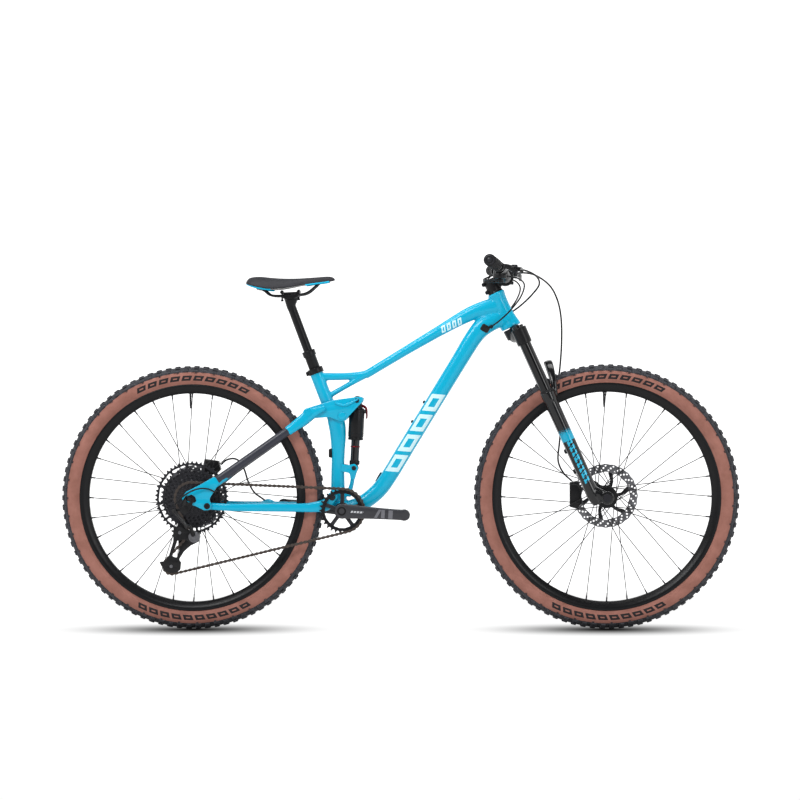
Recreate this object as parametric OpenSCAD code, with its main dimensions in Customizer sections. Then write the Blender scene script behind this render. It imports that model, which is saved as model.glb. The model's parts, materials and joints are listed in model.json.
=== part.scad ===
// Full-suspension mountain bike, medium frame, 29 inch wheels.
// Millimetres, +Z up, ground at Z = 0, +X forward, drive side at -Y.

/* [Geometry] */
// Distance between the axles
wheelbase = 1158; // [1150:1:1166]
// Radius of the inflated tyre
tyre_r = 370; // [368:1:371]
// Height of the crank axis
bb_z = 335; // [333:1:338]
// Head tube angle from the horizontal
head_angle = 66; // [65.5:0.5:66.5]

/* [Wheels] */
// Width of the tyre
tyre_w = 60; // [56:1:62]
// Number of spokes in each wheel
spokes = 32; // [28:4:32]
// Brake rotor radius
rotor_r = 90; // [80:5:90]

/* [Fork] */
// Stanchion radius
stanchion_r = 16; // [15:0.5:16.5]
// Fork travel
fork_travel = 120; // [80:5:120]
// Distance of each leg from the centre plane
leg_y = 68; // [67:0.5:69]

/* [Drive] */
// Crank arm length
crank_len = 174; // [165:1:175]
// Chainring teeth
ring_teeth = 30; // [28:2:32]

/* [Cockpit] */
// Overall handlebar width
bar_w = 740; // [700:10:780]
// Dropper post travel
dropper_travel = 130; // [100:5:130]

/* [Hidden] */
$fn = 64;

cyan = [0.0, 0.68, 0.85];
black = [0.08, 0.08, 0.09];
dark = [0.2, 0.2, 0.23];
steel = [0.7, 0.7, 0.72];
tan_wall = [0.66, 0.42, 0.32];

// Radial clearance of a running shaft
run_gap = 0.05;
// Thickness of tube walls
wall = 2.2;
// Straight cuts reach this far past a face
past = 1;

// Key points of the frame in its centre plane, as [x, z]
front_hub_at = [wheelbase / 2, tyre_r];
rear_hub_at = [-wheelbase / 2, tyre_r];
bb_at = [-156, bb_z];
main_pivot = [-184, 372];
stay_pivot = [-530, 350];
rocker_pivot = [-157, 598];
stay_end = [-250, 606];
shock_low = [-125, 452];
shock_up = [-115, 641];
seat_top = [-232, 724];
seat_kink = [-186, 600];
seat_foot = [-170.5, 392];
head_top = [273, 940];
head_len = 106;

// A point in the centre plane moved sideways
function at(p, y = 0) = [p[0], y, p[1]];
// A point s below the head tube's top along the steering axis, q in front of it
function steer(s, q = 0, y = 0) = [
    head_top[0] + s * cos(head_angle) + q * sin(head_angle), y,
    head_top[1] - s * sin(head_angle) + q * cos(head_angle)];
// A point u above the seat tube's top along its upper axis
seat_dir = (seat_top - seat_kink) / norm(seat_top - seat_kink);
function seat_axis(u) = seat_top + u * seat_dir;

// Chain geometry
pitch = 12.7;
function pitch_r(n) = pitch / (2 * sin(180 / n));
chain_y = -50;
plate_h = 4.3;
cog_step = 3.65;
// Teeth of the cog that the chain runs on
cog_teeth = 22;
cogs = [11, 13, 15, 17, 19, cog_teeth, 25, 28, 32, 36, 42, 50];
cog_rank = 5;
jockey_teeth = 11;
mech_pivot = [-566, 264.5];
jockey_hi = [-609.5, 275];
jockey_lo = [-634, 181];
hanger_bolt = [-594, 340];

// Solid shapes --------------------------------------------------------------

// An outline in the centre plane given thickness from y0 to y1
module slab(y0, y1) {
    translate([0, y1, 0]) rotate([90, 0, 0]) linear_extrude(y1 - y0) children();
}
// The same slab on both sides of the centre plane
module slabs(y0, y1) {
    slab(y0, y1) children();
    slab(-y1, -y0) children();
}
// A round pin across the bike at p
module pin(p, r, y0, y1) {
    translate([p[0], y1, p[1]]) rotate([90, 0, 0]) cylinder(r = r, h = y1 - y0);
}
module pins(p, r, y0, y1) {
    pin(p, r, y0, y1);
    pin(p, r, -y1, -y0);
}
// A round rod between two points in space
module rod(a, b, r1, r2) {
    d = b - a;
    translate(a) rotate([0, acos(d[2] / norm(d)), atan2(d[1], d[0])])
        cylinder(h = norm(d), r1 = r1, r2 = r2);
}
// Rods end to end, with a slightly larger ball at each joint
module bent_rod(pts, radii) {
    for (i = [0 : len(pts) - 2]) rod(pts[i], pts[i + 1], radii[i], radii[i + 1]);
    for (i = [1 : 1 : len(pts) - 2]) translate(pts[i]) sphere(r = radii[i] + 0.6);
}
// A round line swept along points with n sides; r is one radius or one for each point
function radius_at(r, i) = is_list(r) ? r[i] : r;
module line(pts, r, n = 8) {
    m = len(pts);
    function way(i) = let (a = pts[max(i - 1, 0)], b = pts[min(i + 1, m - 1)]) (b - a) / norm(b - a);
    function side(i) = let (c = cross(way(i), [0.3, 1, 0.2])) c / norm(c);
    rings = [for (i = [0 : m - 1]) let (u = side(i), v = cross(way(i), u), q = radius_at(r, i))
        each [for (k = [0 : n - 1]) pts[i] + q * (cos(360 * k / n) * u + sin(360 * k / n) * v)]];
    polyhedron(points = rings, faces = concat(
        [[for (k = [0 : n - 1]) k]],
        [[for (k = [0 : n - 1]) m * n - 1 - k]],
        [for (i = [0 : m - 2], k = [0 : n - 1]) [i * n + k, (i + 1) * n + k,
            (i + 1) * n + (k + 1) % n, i * n + (k + 1) % n]]));
}
// The seat tube's upper axis as local Z, from the top of the tube
module on_seat_axis() {
    translate(at(seat_top)) rotate([0, atan2(seat_dir[0], seat_dir[1]), 0]) children();
}
// The steering axis as local Z, upwards from the head tube's top, local X forward
module on_steerer() {
    translate(at(head_top)) rotate([0, head_angle - 90, 0]) children();
}
// A profile of [radius, offset along the axle] spun about a hub
module spun(hub) {
    translate(at(hub)) rotate([90, 0, 0]) rotate_extrude($fn = 96) children();
}
module ring(hub, r_in, r_out, y0, y1) {
    difference() {
        pin(hub, r_out, y0, y1);
        pin(hub, r_in, y0 - past, y1 + past);
    }
}
module mirrored_y() {
    children();
    mirror([0, 1, 0]) children();
}

// Frame ----------------------------------------------------------------------
head_r_top = 23;
head_r_low = 28;
cup_r = 21;
cup_h = 13;
steerer_r = 14.3;

module head_solid() {
    on_steerer() translate([0, 0, -head_len])
        cylinder(h = head_len, r1 = head_r_low, r2 = head_r_top);
}
module head_tube() {
    color(cyan) difference() {
        head_solid();
        on_steerer() translate([0, 0, -head_len - past])
            cylinder(h = head_len + 2 * past, r = cup_r - 2);
        on_steerer() translate([0, 0, -cup_h]) cylinder(h = cup_h + past, r = cup_r);
        on_steerer() translate([0, 0, -head_len - past]) cylinder(h = cup_h + past, r = cup_r);
    }
}
module headset_bearings() {
    color(dark) for (z = [-cup_h, -head_len]) on_steerer() translate([0, 0, z]) difference() {
        cylinder(h = cup_h, r = cup_r);
        translate([0, 0, -past]) cylinder(h = cup_h + 2 * past, r = steerer_r + run_gap);
    }
}

down_pts = [[-140, 341], [-84, 366], [-38, 412], [212, 818], [290, 866]];
down_r = [21, 22, 22.3, 23, 24];
module down_solid() {
    line([for (p = down_pts) at(p)], down_r, 32);
}
module down_tube() {
    color(cyan) difference() {
        down_solid();
        rod(at([-32, 422]), at([206, 808]), down_r[2] - wall, down_r[3] - wall);
        head_solid();
        bb_solid();
        seat_solid();
        shock_leg_solid();
    }
}

fork_node = [-93, 710.5];
module top_solid() {
    bent_rod([at(fork_node), at([33, 786]), at([190, 874]), at([280, 903])], [12, 12.8, 19, 21]);
}
module strut_solid() {
    rod(at([-226, 708]), at([-88, 710]), 11, 11.4);
    rod(at([-206, 651]), at([-90, 709]), 7.5, 10.5);
}
module top_tube() {
    color(cyan) difference() {
        union() {
            top_solid();
            strut_solid();
        }
        rod(at([-86, 715]), at([180, 868]), 9, 13);
        head_solid();
        down_solid();
        seat_solid();
    }
}

seat_r = 18;
module seat_solid() {
    bent_rod([at(seat_foot), at([-172, 576]), at(seat_kink), at(seat_top)], [17, 17.4, 18, seat_r]);
    pin(rocker_pivot, 14, -23, 23);
}
module seat_tube() {
    color(cyan) difference() {
        seat_solid();
        on_seat_axis() translate([0, 0, -120]) cylinder(h = 122, r = post_out_r);
        on_seat_axis() translate([0, 0, -post_foot - dropper_travel - 8])
            cylinder(h = 60, r = post_in_r + 0.8);
        pin(rocker_pivot, 6, -24, 24);
        rod(at([-170.8, 412]), at([-172, 560]), 14.5, 14.5);
        bb_solid();
    }
}

bb_r = 22;
module bb_solid() {
    pin(bb_at, bb_r, -36.5, 36.5);
    pin(main_pivot, 13.5, -25, 25);
    slab(-22, 22) polygon([[-190, 384], [-186, 404], [-154, 404], [-136, 390], [-112, 384],
        [-86, 352], [-134, 322], [-165, 316], [-176, 330], [-190, 360]]);
}
module bb_shell() {
    color(cyan) difference() {
        bb_solid();
        pin(bb_at, 20, -38, 38);
        pin(main_pivot, 7, -26, 26);
    }
}
module bb_bearings() {
    color(dark) for (s = [-1, 1]) scale([1, s, 1]) union() {
        ring(bb_at, 12 + run_gap, 20, 26, 36.5);
        ring(bb_at, 12 + run_gap, 21.5, 36.5, 44);
    }
}

module shock_leg_solid() {
    slab(-16, 16) polygon([[-157, 461], [-135, 456], [-121, 461], [-116, 450], [-124, 424],
        [-134, 386], [-147, 389], [-137, 425], [-136, 441], [-157, 443]]);
}
shock_eye_r = 9.5;
module shock_bracket() {
    color(cyan) difference() {
        union() {
            shock_leg_solid();
            pin(shock_low, 11.5, -16, 16);
        }
        pin(shock_low, 14.5, -12.7, 12.7);
        pin(shock_low, 4, -17, 17);
        seat_solid();
        bb_solid();
    }
}

module seat_clamp() {
    color(black) difference() {
        union() {
            on_seat_axis() translate([0, 0, -8]) cylinder(h = 16, r = 22);
            on_seat_axis() translate([-28, -7, -6]) cube([12, 14, 12]);
        }
        on_seat_axis() translate([0, 0, -9]) cylinder(h = 9, r = seat_r);
        on_seat_axis() translate([0, 0, -1]) cylinder(h = 11, r = post_out_r);
    }
}

post_out_r = 15.8;
post_in_r = 12.6;
// The inner post's lower end, below the seat tube's top
post_foot = 20;
post_out_top = 60;
post_out_len = 178;
module dropper_outer() {
    color(black) on_seat_axis() difference() {
        union() {
            translate([0, 0, post_out_top - post_out_len]) cylinder(h = post_out_len, r = post_out_r);
            translate([0, 0, post_out_top - 16]) cylinder(h = 16, r = 18.5);
        }
        translate([0, 0, post_out_top - post_out_len - past])
            cylinder(h = post_out_len + 2 * past, r = post_in_r + run_gap);
    }
}

// Two bottle bosses on the down tube's upper side, as distances up its straight part
boss_along = [184, 248];
down_dir = (down_pts[3] - down_pts[2]) / norm(down_pts[3] - down_pts[2]);
down_out = [-down_dir[1], down_dir[0]];
module frame_bolts() {
    color(dark) {
        pin(main_pivot, 7, -45.8, 45.8);
        pins(main_pivot, 9, 45.8, 48.2);
        pin(rocker_pivot, 6, -31.5, 31.5);
        pins(rocker_pivot, 9, 31.5, 34);
        pin(shock_low, 4, -16, 16);
        pins(shock_low, 6.5, 16, 18.5);
        for (t = boss_along) let (p = down_pts[2] + t * down_dir)
            rod(at(p + 23.4 * down_out), at(p + 26.4 * down_out), 4.5, 4.5);
    }
}

// Steering -------------------------------------------------------------------
crown_s = 107.5;
module fork_crown() {
    color(black) difference() {
        on_steerer() union() {
            translate([0, 0, -140]) cylinder(h = 186, r = steerer_r);
            translate([0, 0, -138]) cylinder(h = 138 - crown_s, r = 25);
            translate([leg_fwd - 21, -leg_y, -142]) cube([42, 2 * leg_y, 26]);
            for (s = [-1, 1]) translate([leg_fwd, s * leg_y, -146]) cylinder(h = 34, r = 21.5);
        }
        on_steerer() for (s = [-1, 1]) translate([leg_fwd, s * leg_y, -147])
            cylinder(h = 36, r = stanchion_r);
        on_steerer() translate([0, 0, -150]) cylinder(h = 198, r = 11.5);
    }
}
// Legs stand this far in front of the steering axis
leg_fwd = 16;
stanchion_top = 110;
stanchion_end = 400;
module fork_stanchions() {
    stanchion_len = stanchion_end - stanchion_top;
    color(black) on_steerer() for (s = [-1, 1])
        translate([leg_fwd, s * leg_y, -stanchion_end]) difference() {
        cylinder(h = stanchion_len, r = stanchion_r);
        translate([0, 0, -past]) cylinder(h = stanchion_len - 10, r = stanchion_r - 2);
    }
}

bar_at = [300, 981];
bar_r = 15.9;
bar_pts = [[bar_at[0], 0, bar_at[1]], [299.5, 52, 982], [291, 118, 1001],
    [259, bar_w / 2, 1016]];
module stem() {
    color(black) {
        difference() {
            union() {
                on_steerer() translate([0, 0, 7]) cylinder(h = 39, r = 19);
                rod(steer(-26.5, 8), at(bar_at), 16, 16);
                pin(bar_at, 20, -25, 25);
                on_steerer() translate([-25, -13, 10]) cube([14, 26, 32]);
            }
            on_steerer() translate([0, 0, 6]) cylinder(h = 42, r = steerer_r);
            pin(bar_at, bar_r, -26, 26);
            faceplate_cut();
        }
        difference() {
            ring(bar_at, bar_r, 20, -25, 25);
            translate([-1.5, 0, 0]) stem_side();
        }
    }
}
// Everything behind the faceplate joint, and everything in front of it
module stem_side() {
    translate(at(bar_at)) rotate([0, head_angle - 90, 0]) translate([-80, -40, -40])
        cube([82, 80, 80]);
}
module faceplate_cut() {
    translate(at(bar_at)) rotate([0, head_angle - 90, 0]) translate([1.5, -40, -40])
        cube([40, 80, 80]);
}
module headset_cap() {
    color(black) on_steerer() {
        difference() {
            translate([0, 0, 0.4]) cylinder(h = 6.6, r1 = 22, r2 = 19);
            translate([0, 0, -past]) cylinder(h = 9, r = steerer_r);
        }
        translate([0, 0, 46]) cylinder(h = 4, r = 18);
    }
}
module handlebar() {
    half = [[bar_at[0], 30, bar_at[1]], bar_pts[1], [295, 88, 992], bar_pts[2], bar_pts[3]];
    half_r = [bar_r, 14, 12.2, 11.1, 11.1];
    color(black) {
        pin(bar_at, bar_r, -30, 30);
        mirrored_y() line(half, half_r, 32);
    }
}
// A point a fraction f along the bar's outer straight, on side s
function grip_point(f, s = 1) = let (p = bar_pts[2] + f * (bar_pts[3] - bar_pts[2]))
    [p[0], s * p[1], p[2]];
module grips() {
    color(black) mirrored_y() difference() {
        union() {
            rod(grip_point(0.48), grip_point(1.008), 16, 16.6);
            rod(grip_point(0.455), grip_point(0.485), 17.5, 17.5);
        }
        rod(grip_point(0.3), grip_point(1), 11.1, 11.1);
    }
}
// Brake master cylinders: clamp, barrel and reservoir on each side
lever_pivot = [330, 214, 998];
module brake_masters() {
    color(black) mirrored_y() difference() {
        union() {
            rod(grip_point(0.24), grip_point(0.3), 15.5, 15.5);
            translate([310, 188, 995]) rotate([0, 25, -8]) cube([36, 20, 13], center = true);
            rod([326, 150, 996], [334, 212, 992], 8.5, 8.5);
        }
        rod(grip_point(0.2), grip_point(0.35), 11.1, 11.1);
        translate(lever_pivot) cylinder(h = 60, r = 3 + run_gap, center = true);
        translate([lever_pivot[0], lever_pivot[1], 992]) cube([22, 16, 8.6], center = true);
    }
}
// A brake blade: eye in the master's slot, then outwards beside the grip
module blade() {
    translate(lever_pivot) cylinder(h = 24, r = 3, center = true);
    translate([lever_pivot[0], lever_pivot[1], 992]) cylinder(h = 8, r = 6.5, center = true);
    bent_rod([[334, 219, 992], [347, 262, 988], [337, 318, 989]], [4, 4.6, 5]);
}
module brake_blade_left() {
    color(dark) blade();
}
module brake_blade_right() {
    color(dark) mirror([0, 1, 0]) blade();
}
// Shifter pod under the right side of the bar, with two thumb paddles
paddle_axis = [285, -172, 0];
module shifter_body() {
    color(black) difference() {
        union() {
            rod(grip_point(0.14, -1), grip_point(0.19, -1), 15, 15);
            translate([paddle_axis[0], paddle_axis[1], 974]) cylinder(h = 13, r = 19);
            translate([276, -166, 984]) cube([14, 9, 12]);
        }
        rod(grip_point(0.1, -1), grip_point(0.25, -1), 11.1, 11.1);
        translate([paddle_axis[0], paddle_axis[1], 950]) cylinder(h = 60, r = 4 + run_gap);
    }
}
module paddle(z, reach, turn) {
    translate([paddle_axis[0], paddle_axis[1], z]) rotate([0, 0, turn]) {
        cylinder(h = 4, r = 11);
        translate([-reach, -6, 0]) cube([reach, 12, 4]);
        translate([-reach - 2, -10, 0]) cube([12, 20, 4]);
    }
}
module shift_paddle_main() {
    color(dark) {
        paddle(968, 44, 20);
        translate([paddle_axis[0], paddle_axis[1], 968]) cylinder(h = 21, r = 4);
    }
}
module shift_paddle_release() {
    color(dark) difference() {
        paddle(962.5, 34, -25);
        translate([paddle_axis[0], paddle_axis[1], 960]) cylinder(h = 30, r = 2);
    }
}
// Dropper remote under the left side of the bar
remote_axis = [288, 168, 975];
module dropper_remote() {
    color(black) difference() {
        union() {
            rod(grip_point(0.14), grip_point(0.19), 15, 15);
            translate([277, 161, 974]) cube([22, 15, 20]);
        }
        rod(grip_point(0.1), grip_point(0.25), 11.1, 11.1);
        translate([remote_axis[0], 150, 980]) rotate([-90, 0, 0]) cylinder(h = 40, r = 3 + run_gap);
        translate([remote_axis[0] - 20, 164.5, 970]) cube([30, 8, 18]);
    }
}
module dropper_lever() {
    color(dark) {
        translate([remote_axis[0], 158, 980]) rotate([-90, 0, 0]) cylinder(h = 21, r = 3);
        translate([remote_axis[0], 165, 980]) rotate([-90, 0, 0]) cylinder(h = 7, r = 5.5);
        translate([remote_axis[0] - 46, 165, 976]) cube([46, 7, 6]);
        translate([remote_axis[0] - 52, 159, 974]) cube([16, 22, 6]);
    }
}

// Fork lowers ----------------------------------------------------------------
axle_r = 7.5;
module fork_lowers() {
    color(black) difference() {
        union() {
            on_steerer() for (s = [-1, 1]) translate([leg_fwd, s * leg_y, 0]) {
                translate([0, 0, -652]) cylinder(h = 342, r = 18.6);
                translate([0, 0, -324]) cylinder(h = 15, r = 20);
            }
            pins(front_hub_at, 15, 50, 82);
            slabs(52, 80) polygon([[530, 346], [552, 392], [582, 384], [588, 360], [562, 350]]);
            slab(56, 66) polygon([[488, 412], [536, 446], [548, 420], [540, 400], [497, 398]]);
            slab(56, 66) polygon([[488, 332], [530, 350], [546, 366], [536, 378], [497, 346]]);
            arch();
        }
        on_steerer() for (s = [-1, 1]) translate([leg_fwd, s * leg_y, -stanchion_end - fork_travel - 2])
            cylinder(h = stanchion_end + fork_travel, r = stanchion_r + run_gap);
        pin(front_hub_at, axle_r, -90, 90);
    }
}
// The arch in front of the legs, over the tyre
module arch() {
    top = steer(246, 64);
    for (s = [-1, 1]) {
        rod(steer(322, 34, s * 62), [top[0] - 8, s * 40, top[2] - 14], 10, 9);
        translate([top[0] - 8, s * 40, top[2] - 14]) sphere(r = 9.6);
        rod([top[0] - 8, s * 40, top[2] - 14], top, 9, 8.5);
    }
    translate(top) sphere(r = 9.1);
}
module front_axle() {
    color(dark) {
        pin(front_hub_at, axle_r, -84, 83);
        pin(front_hub_at, 11, -87.5, -84);
    }
}
rotor_y = 41;
module front_caliper() {
    color(black) difference() {
        slab(27, 56) polygon([[478, 408], [498, 412], [512, 396], [512, 350], [498, 334],
            [478, 340]]);
        slab(rotor_y - 2.4, rotor_y + 2.4) polygon([[470, 420], [530, 420], [530, 320],
            [470, 320]]);
        pin(front_hub_at, 70, 20, 60);
    }
}

// Wheels ---------------------------------------------------------------------
rim_in = 292;
rim_out = 317;
rim_half = 17.5;
module tyre(hub) {
    mid_r = tyre_r - tyre_w / 2;
    spun(hub) difference() {
        translate([mid_r, 0]) circle(r = tyre_w / 2);
        translate([mid_r, 0]) circle(r = tyre_w / 2 - 3.5);
        translate([rim_in, -rim_half]) square([rim_out - rim_in, 2 * rim_half]);
    }
}
module rim(hub) {
    spun(hub) difference() {
        polygon([[rim_in, -7], [rim_in + 8, -rim_half], [rim_out, -rim_half],
            [rim_out, -rim_half + 3], [rim_out - 8, -rim_half + 3], [rim_out - 9, 0],
            [rim_out - 8, rim_half - 3], [rim_out, rim_half - 3], [rim_out, rim_half],
            [rim_in + 8, rim_half], [rim_in, 7]]);
        polygon([[rim_in + 3, -5], [rim_in + 10, -13], [rim_in + 14, -13],
            [rim_in + 13, 0], [rim_in + 14, 13], [rim_in + 10, 13], [rim_in + 3, 5]]);
    }
}
// Crossed spokes from two flanges at y_left and y_right
flange_r = 26;
module wheel_spokes(hub, y_left, y_right) {
    step = 360 / spokes;
    for (i = [0 : spokes - 1]) {
        side = i % 2 == 0 ? 1 : -1;
        lean = i % 4 < 2 ? 1 : -1;
        a = i * step;
        b = a + lean * 66;
        y = (side > 0 ? y_left : y_right) + lean * 2.4;
        rod([hub[0] + flange_r * cos(b), y, hub[1] + flange_r * sin(b)],
            [hub[0] + (rim_in + 2) * cos(a), side * 3, hub[1] + (rim_in + 2) * sin(a)], 1, 1);
    }
}
module hub_shell(hub, y0, y1, y_left, y_right, bore) {
    difference() {
        union() {
            pin(hub, 16, y0, y1);
            for (y = [y_left, y_right]) pin(hub, flange_r + 4, y - 2, y + 2);
        }
        pin(hub, bore + run_gap, y0 - past, y1 + past);
    }
}
// A drilled disc with an open centre held by six arms
module rotor(hub, y) {
    difference() {
        pin(hub, rotor_r, y - 0.9, y + 0.9);
        pin(hub, 16, y - 2, y + 2);
        for (a = [0 : 60 : 300]) translate(at(hub)) rotate([0, a, 0]) translate([50, 0, 0])
            pin([0, 0], 17, y - 2, y + 2);
        for (a = [0 : 15 : 345]) translate(at(hub)) rotate([0, a, 0]) {
            pin([80, 0], 3, y - 2, y + 2);
        }
    }
}
module front_tyre() {
    color(dark) tyre(front_hub_at);
}
module front_rim() {
    color(black) rim(front_hub_at);
}
module front_spokes() {
    color(black) wheel_spokes(front_hub_at, 24, -32);
}
module front_hub() {
    color(black) hub_shell(front_hub_at, -49.6, 49.6, 24, -32, axle_r);
}
module front_rotor() {
    color(steel) rotor(front_hub_at, rotor_y);
}
module rear_tyre() {
    color(dark) tyre(rear_hub_at);
}
module rear_rim() {
    color(black) rim(rear_hub_at);
}
rear_rotor_y = 60;
rear_axle_r = 6;
module rear_spokes() {
    color(black) wheel_spokes(rear_hub_at, 36, -19);
}
module rear_hub() {
    color(black) hub_shell(rear_hub_at, -24.5, 73.6, 36, -19, rear_axle_r);
}
module rear_rotor() {
    color(steel) rotor(rear_hub_at, rear_rotor_y);
}

// Rear triangle ---------------------------------------------------------------
module chainstays() {
    color(cyan) mirrored_y() difference() {
        union() {
            pin(main_pivot, 14, 30, 45.5);
            slab(34.5, 45.5) polygon([[-190, 384], [-178, 358], [-204, 331], [-276, 332],
                [-276, 354], [-206, 362]]);
            rod([-276, 41, 343], [-464, 70, 345], 9, 7.6);
            translate([-276, 41, 343]) sphere(r = 9.2);
            slab(63, 73.4) polygon([[-452, 353], [-452, 337], [-500, 337], [-530, 339.5],
                [-530, 360.5], [-500, 357]]);
            pin(stay_pivot, 10.5, 63, 73.4);
            rod([-201, 40, 344], [-201, 0, 344], 6, 6);
        }
        pin(main_pivot, 7 + run_gap, 20, 60);
        pin(stay_pivot, 5 + run_gap, 60, 80);
    }
}
stay_line = [[-494, 68.5, 422], [-305, 47, 556], [-266, 39.5, 590]];
module seatstays() {
    color(cyan) mirrored_y() difference() {
        union() {
            bent_rod(stay_line, [11.5, 11.5, 11]);
            pin(stay_end, 14.5, 32.5, 43.5);
            slab(32.5, 43.5) polygon([[-278, 585], [-290, 606], [-246, 621], [-210, 628],
                [-205, 610], [-240, 592]]);
            slab(74.4, 82) dropout_outline();
            pin(stay_pivot, 5, 63, 75);
            slab(66, 82) polygon([[-508, 434], [-488, 416], [-512, 392], [-532, 412]]);
        }
        pin(stay_end, eye_clear, 20, 60);
        pin(rear_hub_at, rear_axle_r, 60, 90);
        slab(20, 73.8) polygon([[-540, 330], [-516, 330], [-516, 365], [-514, 388],
            [-560, 400]]);
    }
}
module dropout_outline() {
    polygon([[-488, 416], [-508, 434], [-550, 408], [-588, 386], [-599, 368], [-590, 352],
        [-562, 344], [-536, 338], [-520, 342], [-516, 354], [-512, 384]]);
}
module rear_axle() {
    color(dark) {
        pin(rear_hub_at, rear_axle_r, -84, 82);
        pin(rear_hub_at, 8.5, 82, 86);
    }
}
module rear_caliper() {
    color(black) difference() {
        slab(47, 73) polygon([[-560, 440], [-520, 432], [-506, 446], [-512, 470], [-552, 476]]);
        slab(rear_rotor_y - 2.4, rear_rotor_y + 2.4) polygon([[-570, 420], [-500, 420],
            [-500, 480], [-570, 480]]);
        pin(rear_hub_at, 66, 40, 80);
        rod([-494, 68.5, 422], [-305, 47, 556], 12, 12);
        bent_rod(stay_line, [12, 12, 12]);
    }
}
module mech_mount() {
    color(dark) difference() {
        slab(-88, -82) polygon([[-570, 378], [-588, 380], [-597, 366], [-602, 342], [-598, 331],
            [-586, 330], [-572, 352], [-566, 366]]);
        pin(rear_hub_at, 9, -90, -80);
        pin(hanger_bolt, 5, -90, -80);
    }
    color(black) union() {
        pin(hanger_bolt, 10.5, -98, -88);
        pin(hanger_bolt, 5, -89, -82);
        rod([-596, -94, 340], link_hi + 9 * hinge_dir, 5, 3.4);
        hinge_pin(link_hi, link_pin_r, -4.5, 10);
    }
}

// Rocker and shock ------------------------------------------------------------
// Radius of the hole at each pivot where the linkage is left open
eye_clear = 9.6;
shock_dir = (shock_up - shock_low) / norm(shock_up - shock_low);
module on_shock() {
    translate(at(shock_low)) rotate([0, atan2(shock_dir[0], shock_dir[1]), 0]) children();
}
shock_len = norm(shock_up - shock_low);
module rocker_link() {
    color(cyan) difference() {
        slabs(24.2, 31) polygon([[-264, 604], [-258, 618], [-183, 641], [-108, 651],
            [-99, 646], [-101, 637], [-138, 597], [-149, 585], [-161, 584], [-190, 594],
            [-250, 592]]);
        pin(rocker_pivot, 6 + run_gap, -40, 40);
        pin(shock_up, 4, -40, 40);
        pin(stay_end, 3.5, -40, 40);
    }
    color(dark) {
        pin(shock_up, 4, -31, 31);
        pins(shock_up, 6.5, 31, 33.5);
        pins(stay_end, 3.5, 24.2, 43.5);
    }
}
shaft_r = 12.3;
module shock_shaft() {
    color(steel) difference() {
        union() {
            on_shock() cylinder(h = 108, r = shaft_r);
            pin(shock_low, shock_eye_r + 2.5, -11.4, 11.4);
        }
        pin(shock_low, 4 + run_gap, -20, 20);
    }
}
can_low = 78;
module shock_can() {
    color(black) difference() {
        union() {
            on_shock() translate([0, 0, can_low]) cylinder(h = 90, r = 21.5);
            on_shock() translate([0, 0, can_low + 90]) cylinder(h = 12, r = 14);
            pin(shock_up, 12.5, -11.4, 11.4);
        }
        on_shock() translate([0, 0, can_low - past]) cylinder(h = 78, r = shaft_r + run_gap);
        pin(shock_up, eye_clear - 0.8, -20, 20);
    }
    color([0.45, 0.05, 0.08]) on_shock() translate([21.2, -4, 150]) cube([8, 8, 30]);
}

// Drive ------------------------------------------------------------------------
crank_drop = -3.8;
crank_end = bb_at + crank_len * [cos(crank_drop), sin(crank_drop)];
pedal_r = 7.14;
module arm_outline() {
    translate(bb_at) circle(r = 22.8);
    translate(crank_end) circle(r = 16.2);
    translate(bb_at) rotate(crank_drop) polygon([[0.9, 22.8], [crank_len + 0.6, 16.2],
        [crank_len + 0.6, -16.2], [0.9, -22.8]]);
}
module crank_arm_right() {
    color(dark) difference() {
        slab(-76, -62) arm_outline();
        pin(crank_end, pedal_r, -80, -60);
    }
}
module crank_arm_left() {
    color(dark) difference() {
        translate(at(2 * bb_at)) rotate([0, 180, 0]) mirror([0, 1, 0]) slab(-76, -62)
            arm_outline();
        pin(2 * bb_at - crank_end, pedal_r, 60, 80);
    }
}
module crank_spindle() {
    color(dark) difference() {
        pin(bb_at, 12, -62, 62);
        pin(bb_at, 8, -63, 63);
    }
}
// A toothed disc's outline
module toothed(n, r_tip) {
    r = pitch_r(n);
    polygon([for (i = [0 : n - 1], k = [0 : 3]) let (a = (i + [0, 0.3, 0.42, 0.88][k]) * 360 / n,
        q = [r_tip, r_tip, r - 3.6, r - 3.6][k]) [q * cos(a), q * sin(a)]]);
}
module chainring() {
    color(dark) difference() {
        union() {
            slab(chain_y - 0.9, chain_y + 0.9) translate(bb_at)
                toothed(ring_teeth, pitch_r(ring_teeth) + 3);
            slab(-61.9, chain_y - 0.9) translate(bb_at) circle(r = 24);
            slab(chain_y - 2.6, chain_y - 0.9) translate(bb_at) circle(r = 44);
        }
        pin(bb_at, 12, -70, -30);
        for (a = [45 : 90 : 315]) pin(bb_at + 34 * [cos(a), sin(a)], 7, -58, -40);
    }
}
module cassette() {
    color(steel) difference() {
        union() {
            for (i = [0 : len(cogs) - 1]) {
                y = chain_y + (i - cog_rank) * cog_step;
                slab(y - 0.8, y + 0.8) translate(rear_hub_at)
                    toothed(cogs[i], pitch_r(cogs[i]) + 2);
            }
            pin(rear_hub_at, 17, -72.5, -25);
        }
        pin(rear_hub_at, rear_axle_r + run_gap, -80, -20);
    }
}

// Straight run between two wheels that turn the way s1 and s2 say: its direction
function run_angle(c1, r1, s1, c2, r2, s2) = let (d = c2 - c1)
    atan2(d[1], d[0]) + asin((s1 * r1 - s2 * r2) / norm(d));
function touch(c, r, s, a) = c + s * r * [sin(a), -cos(a)];
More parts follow.
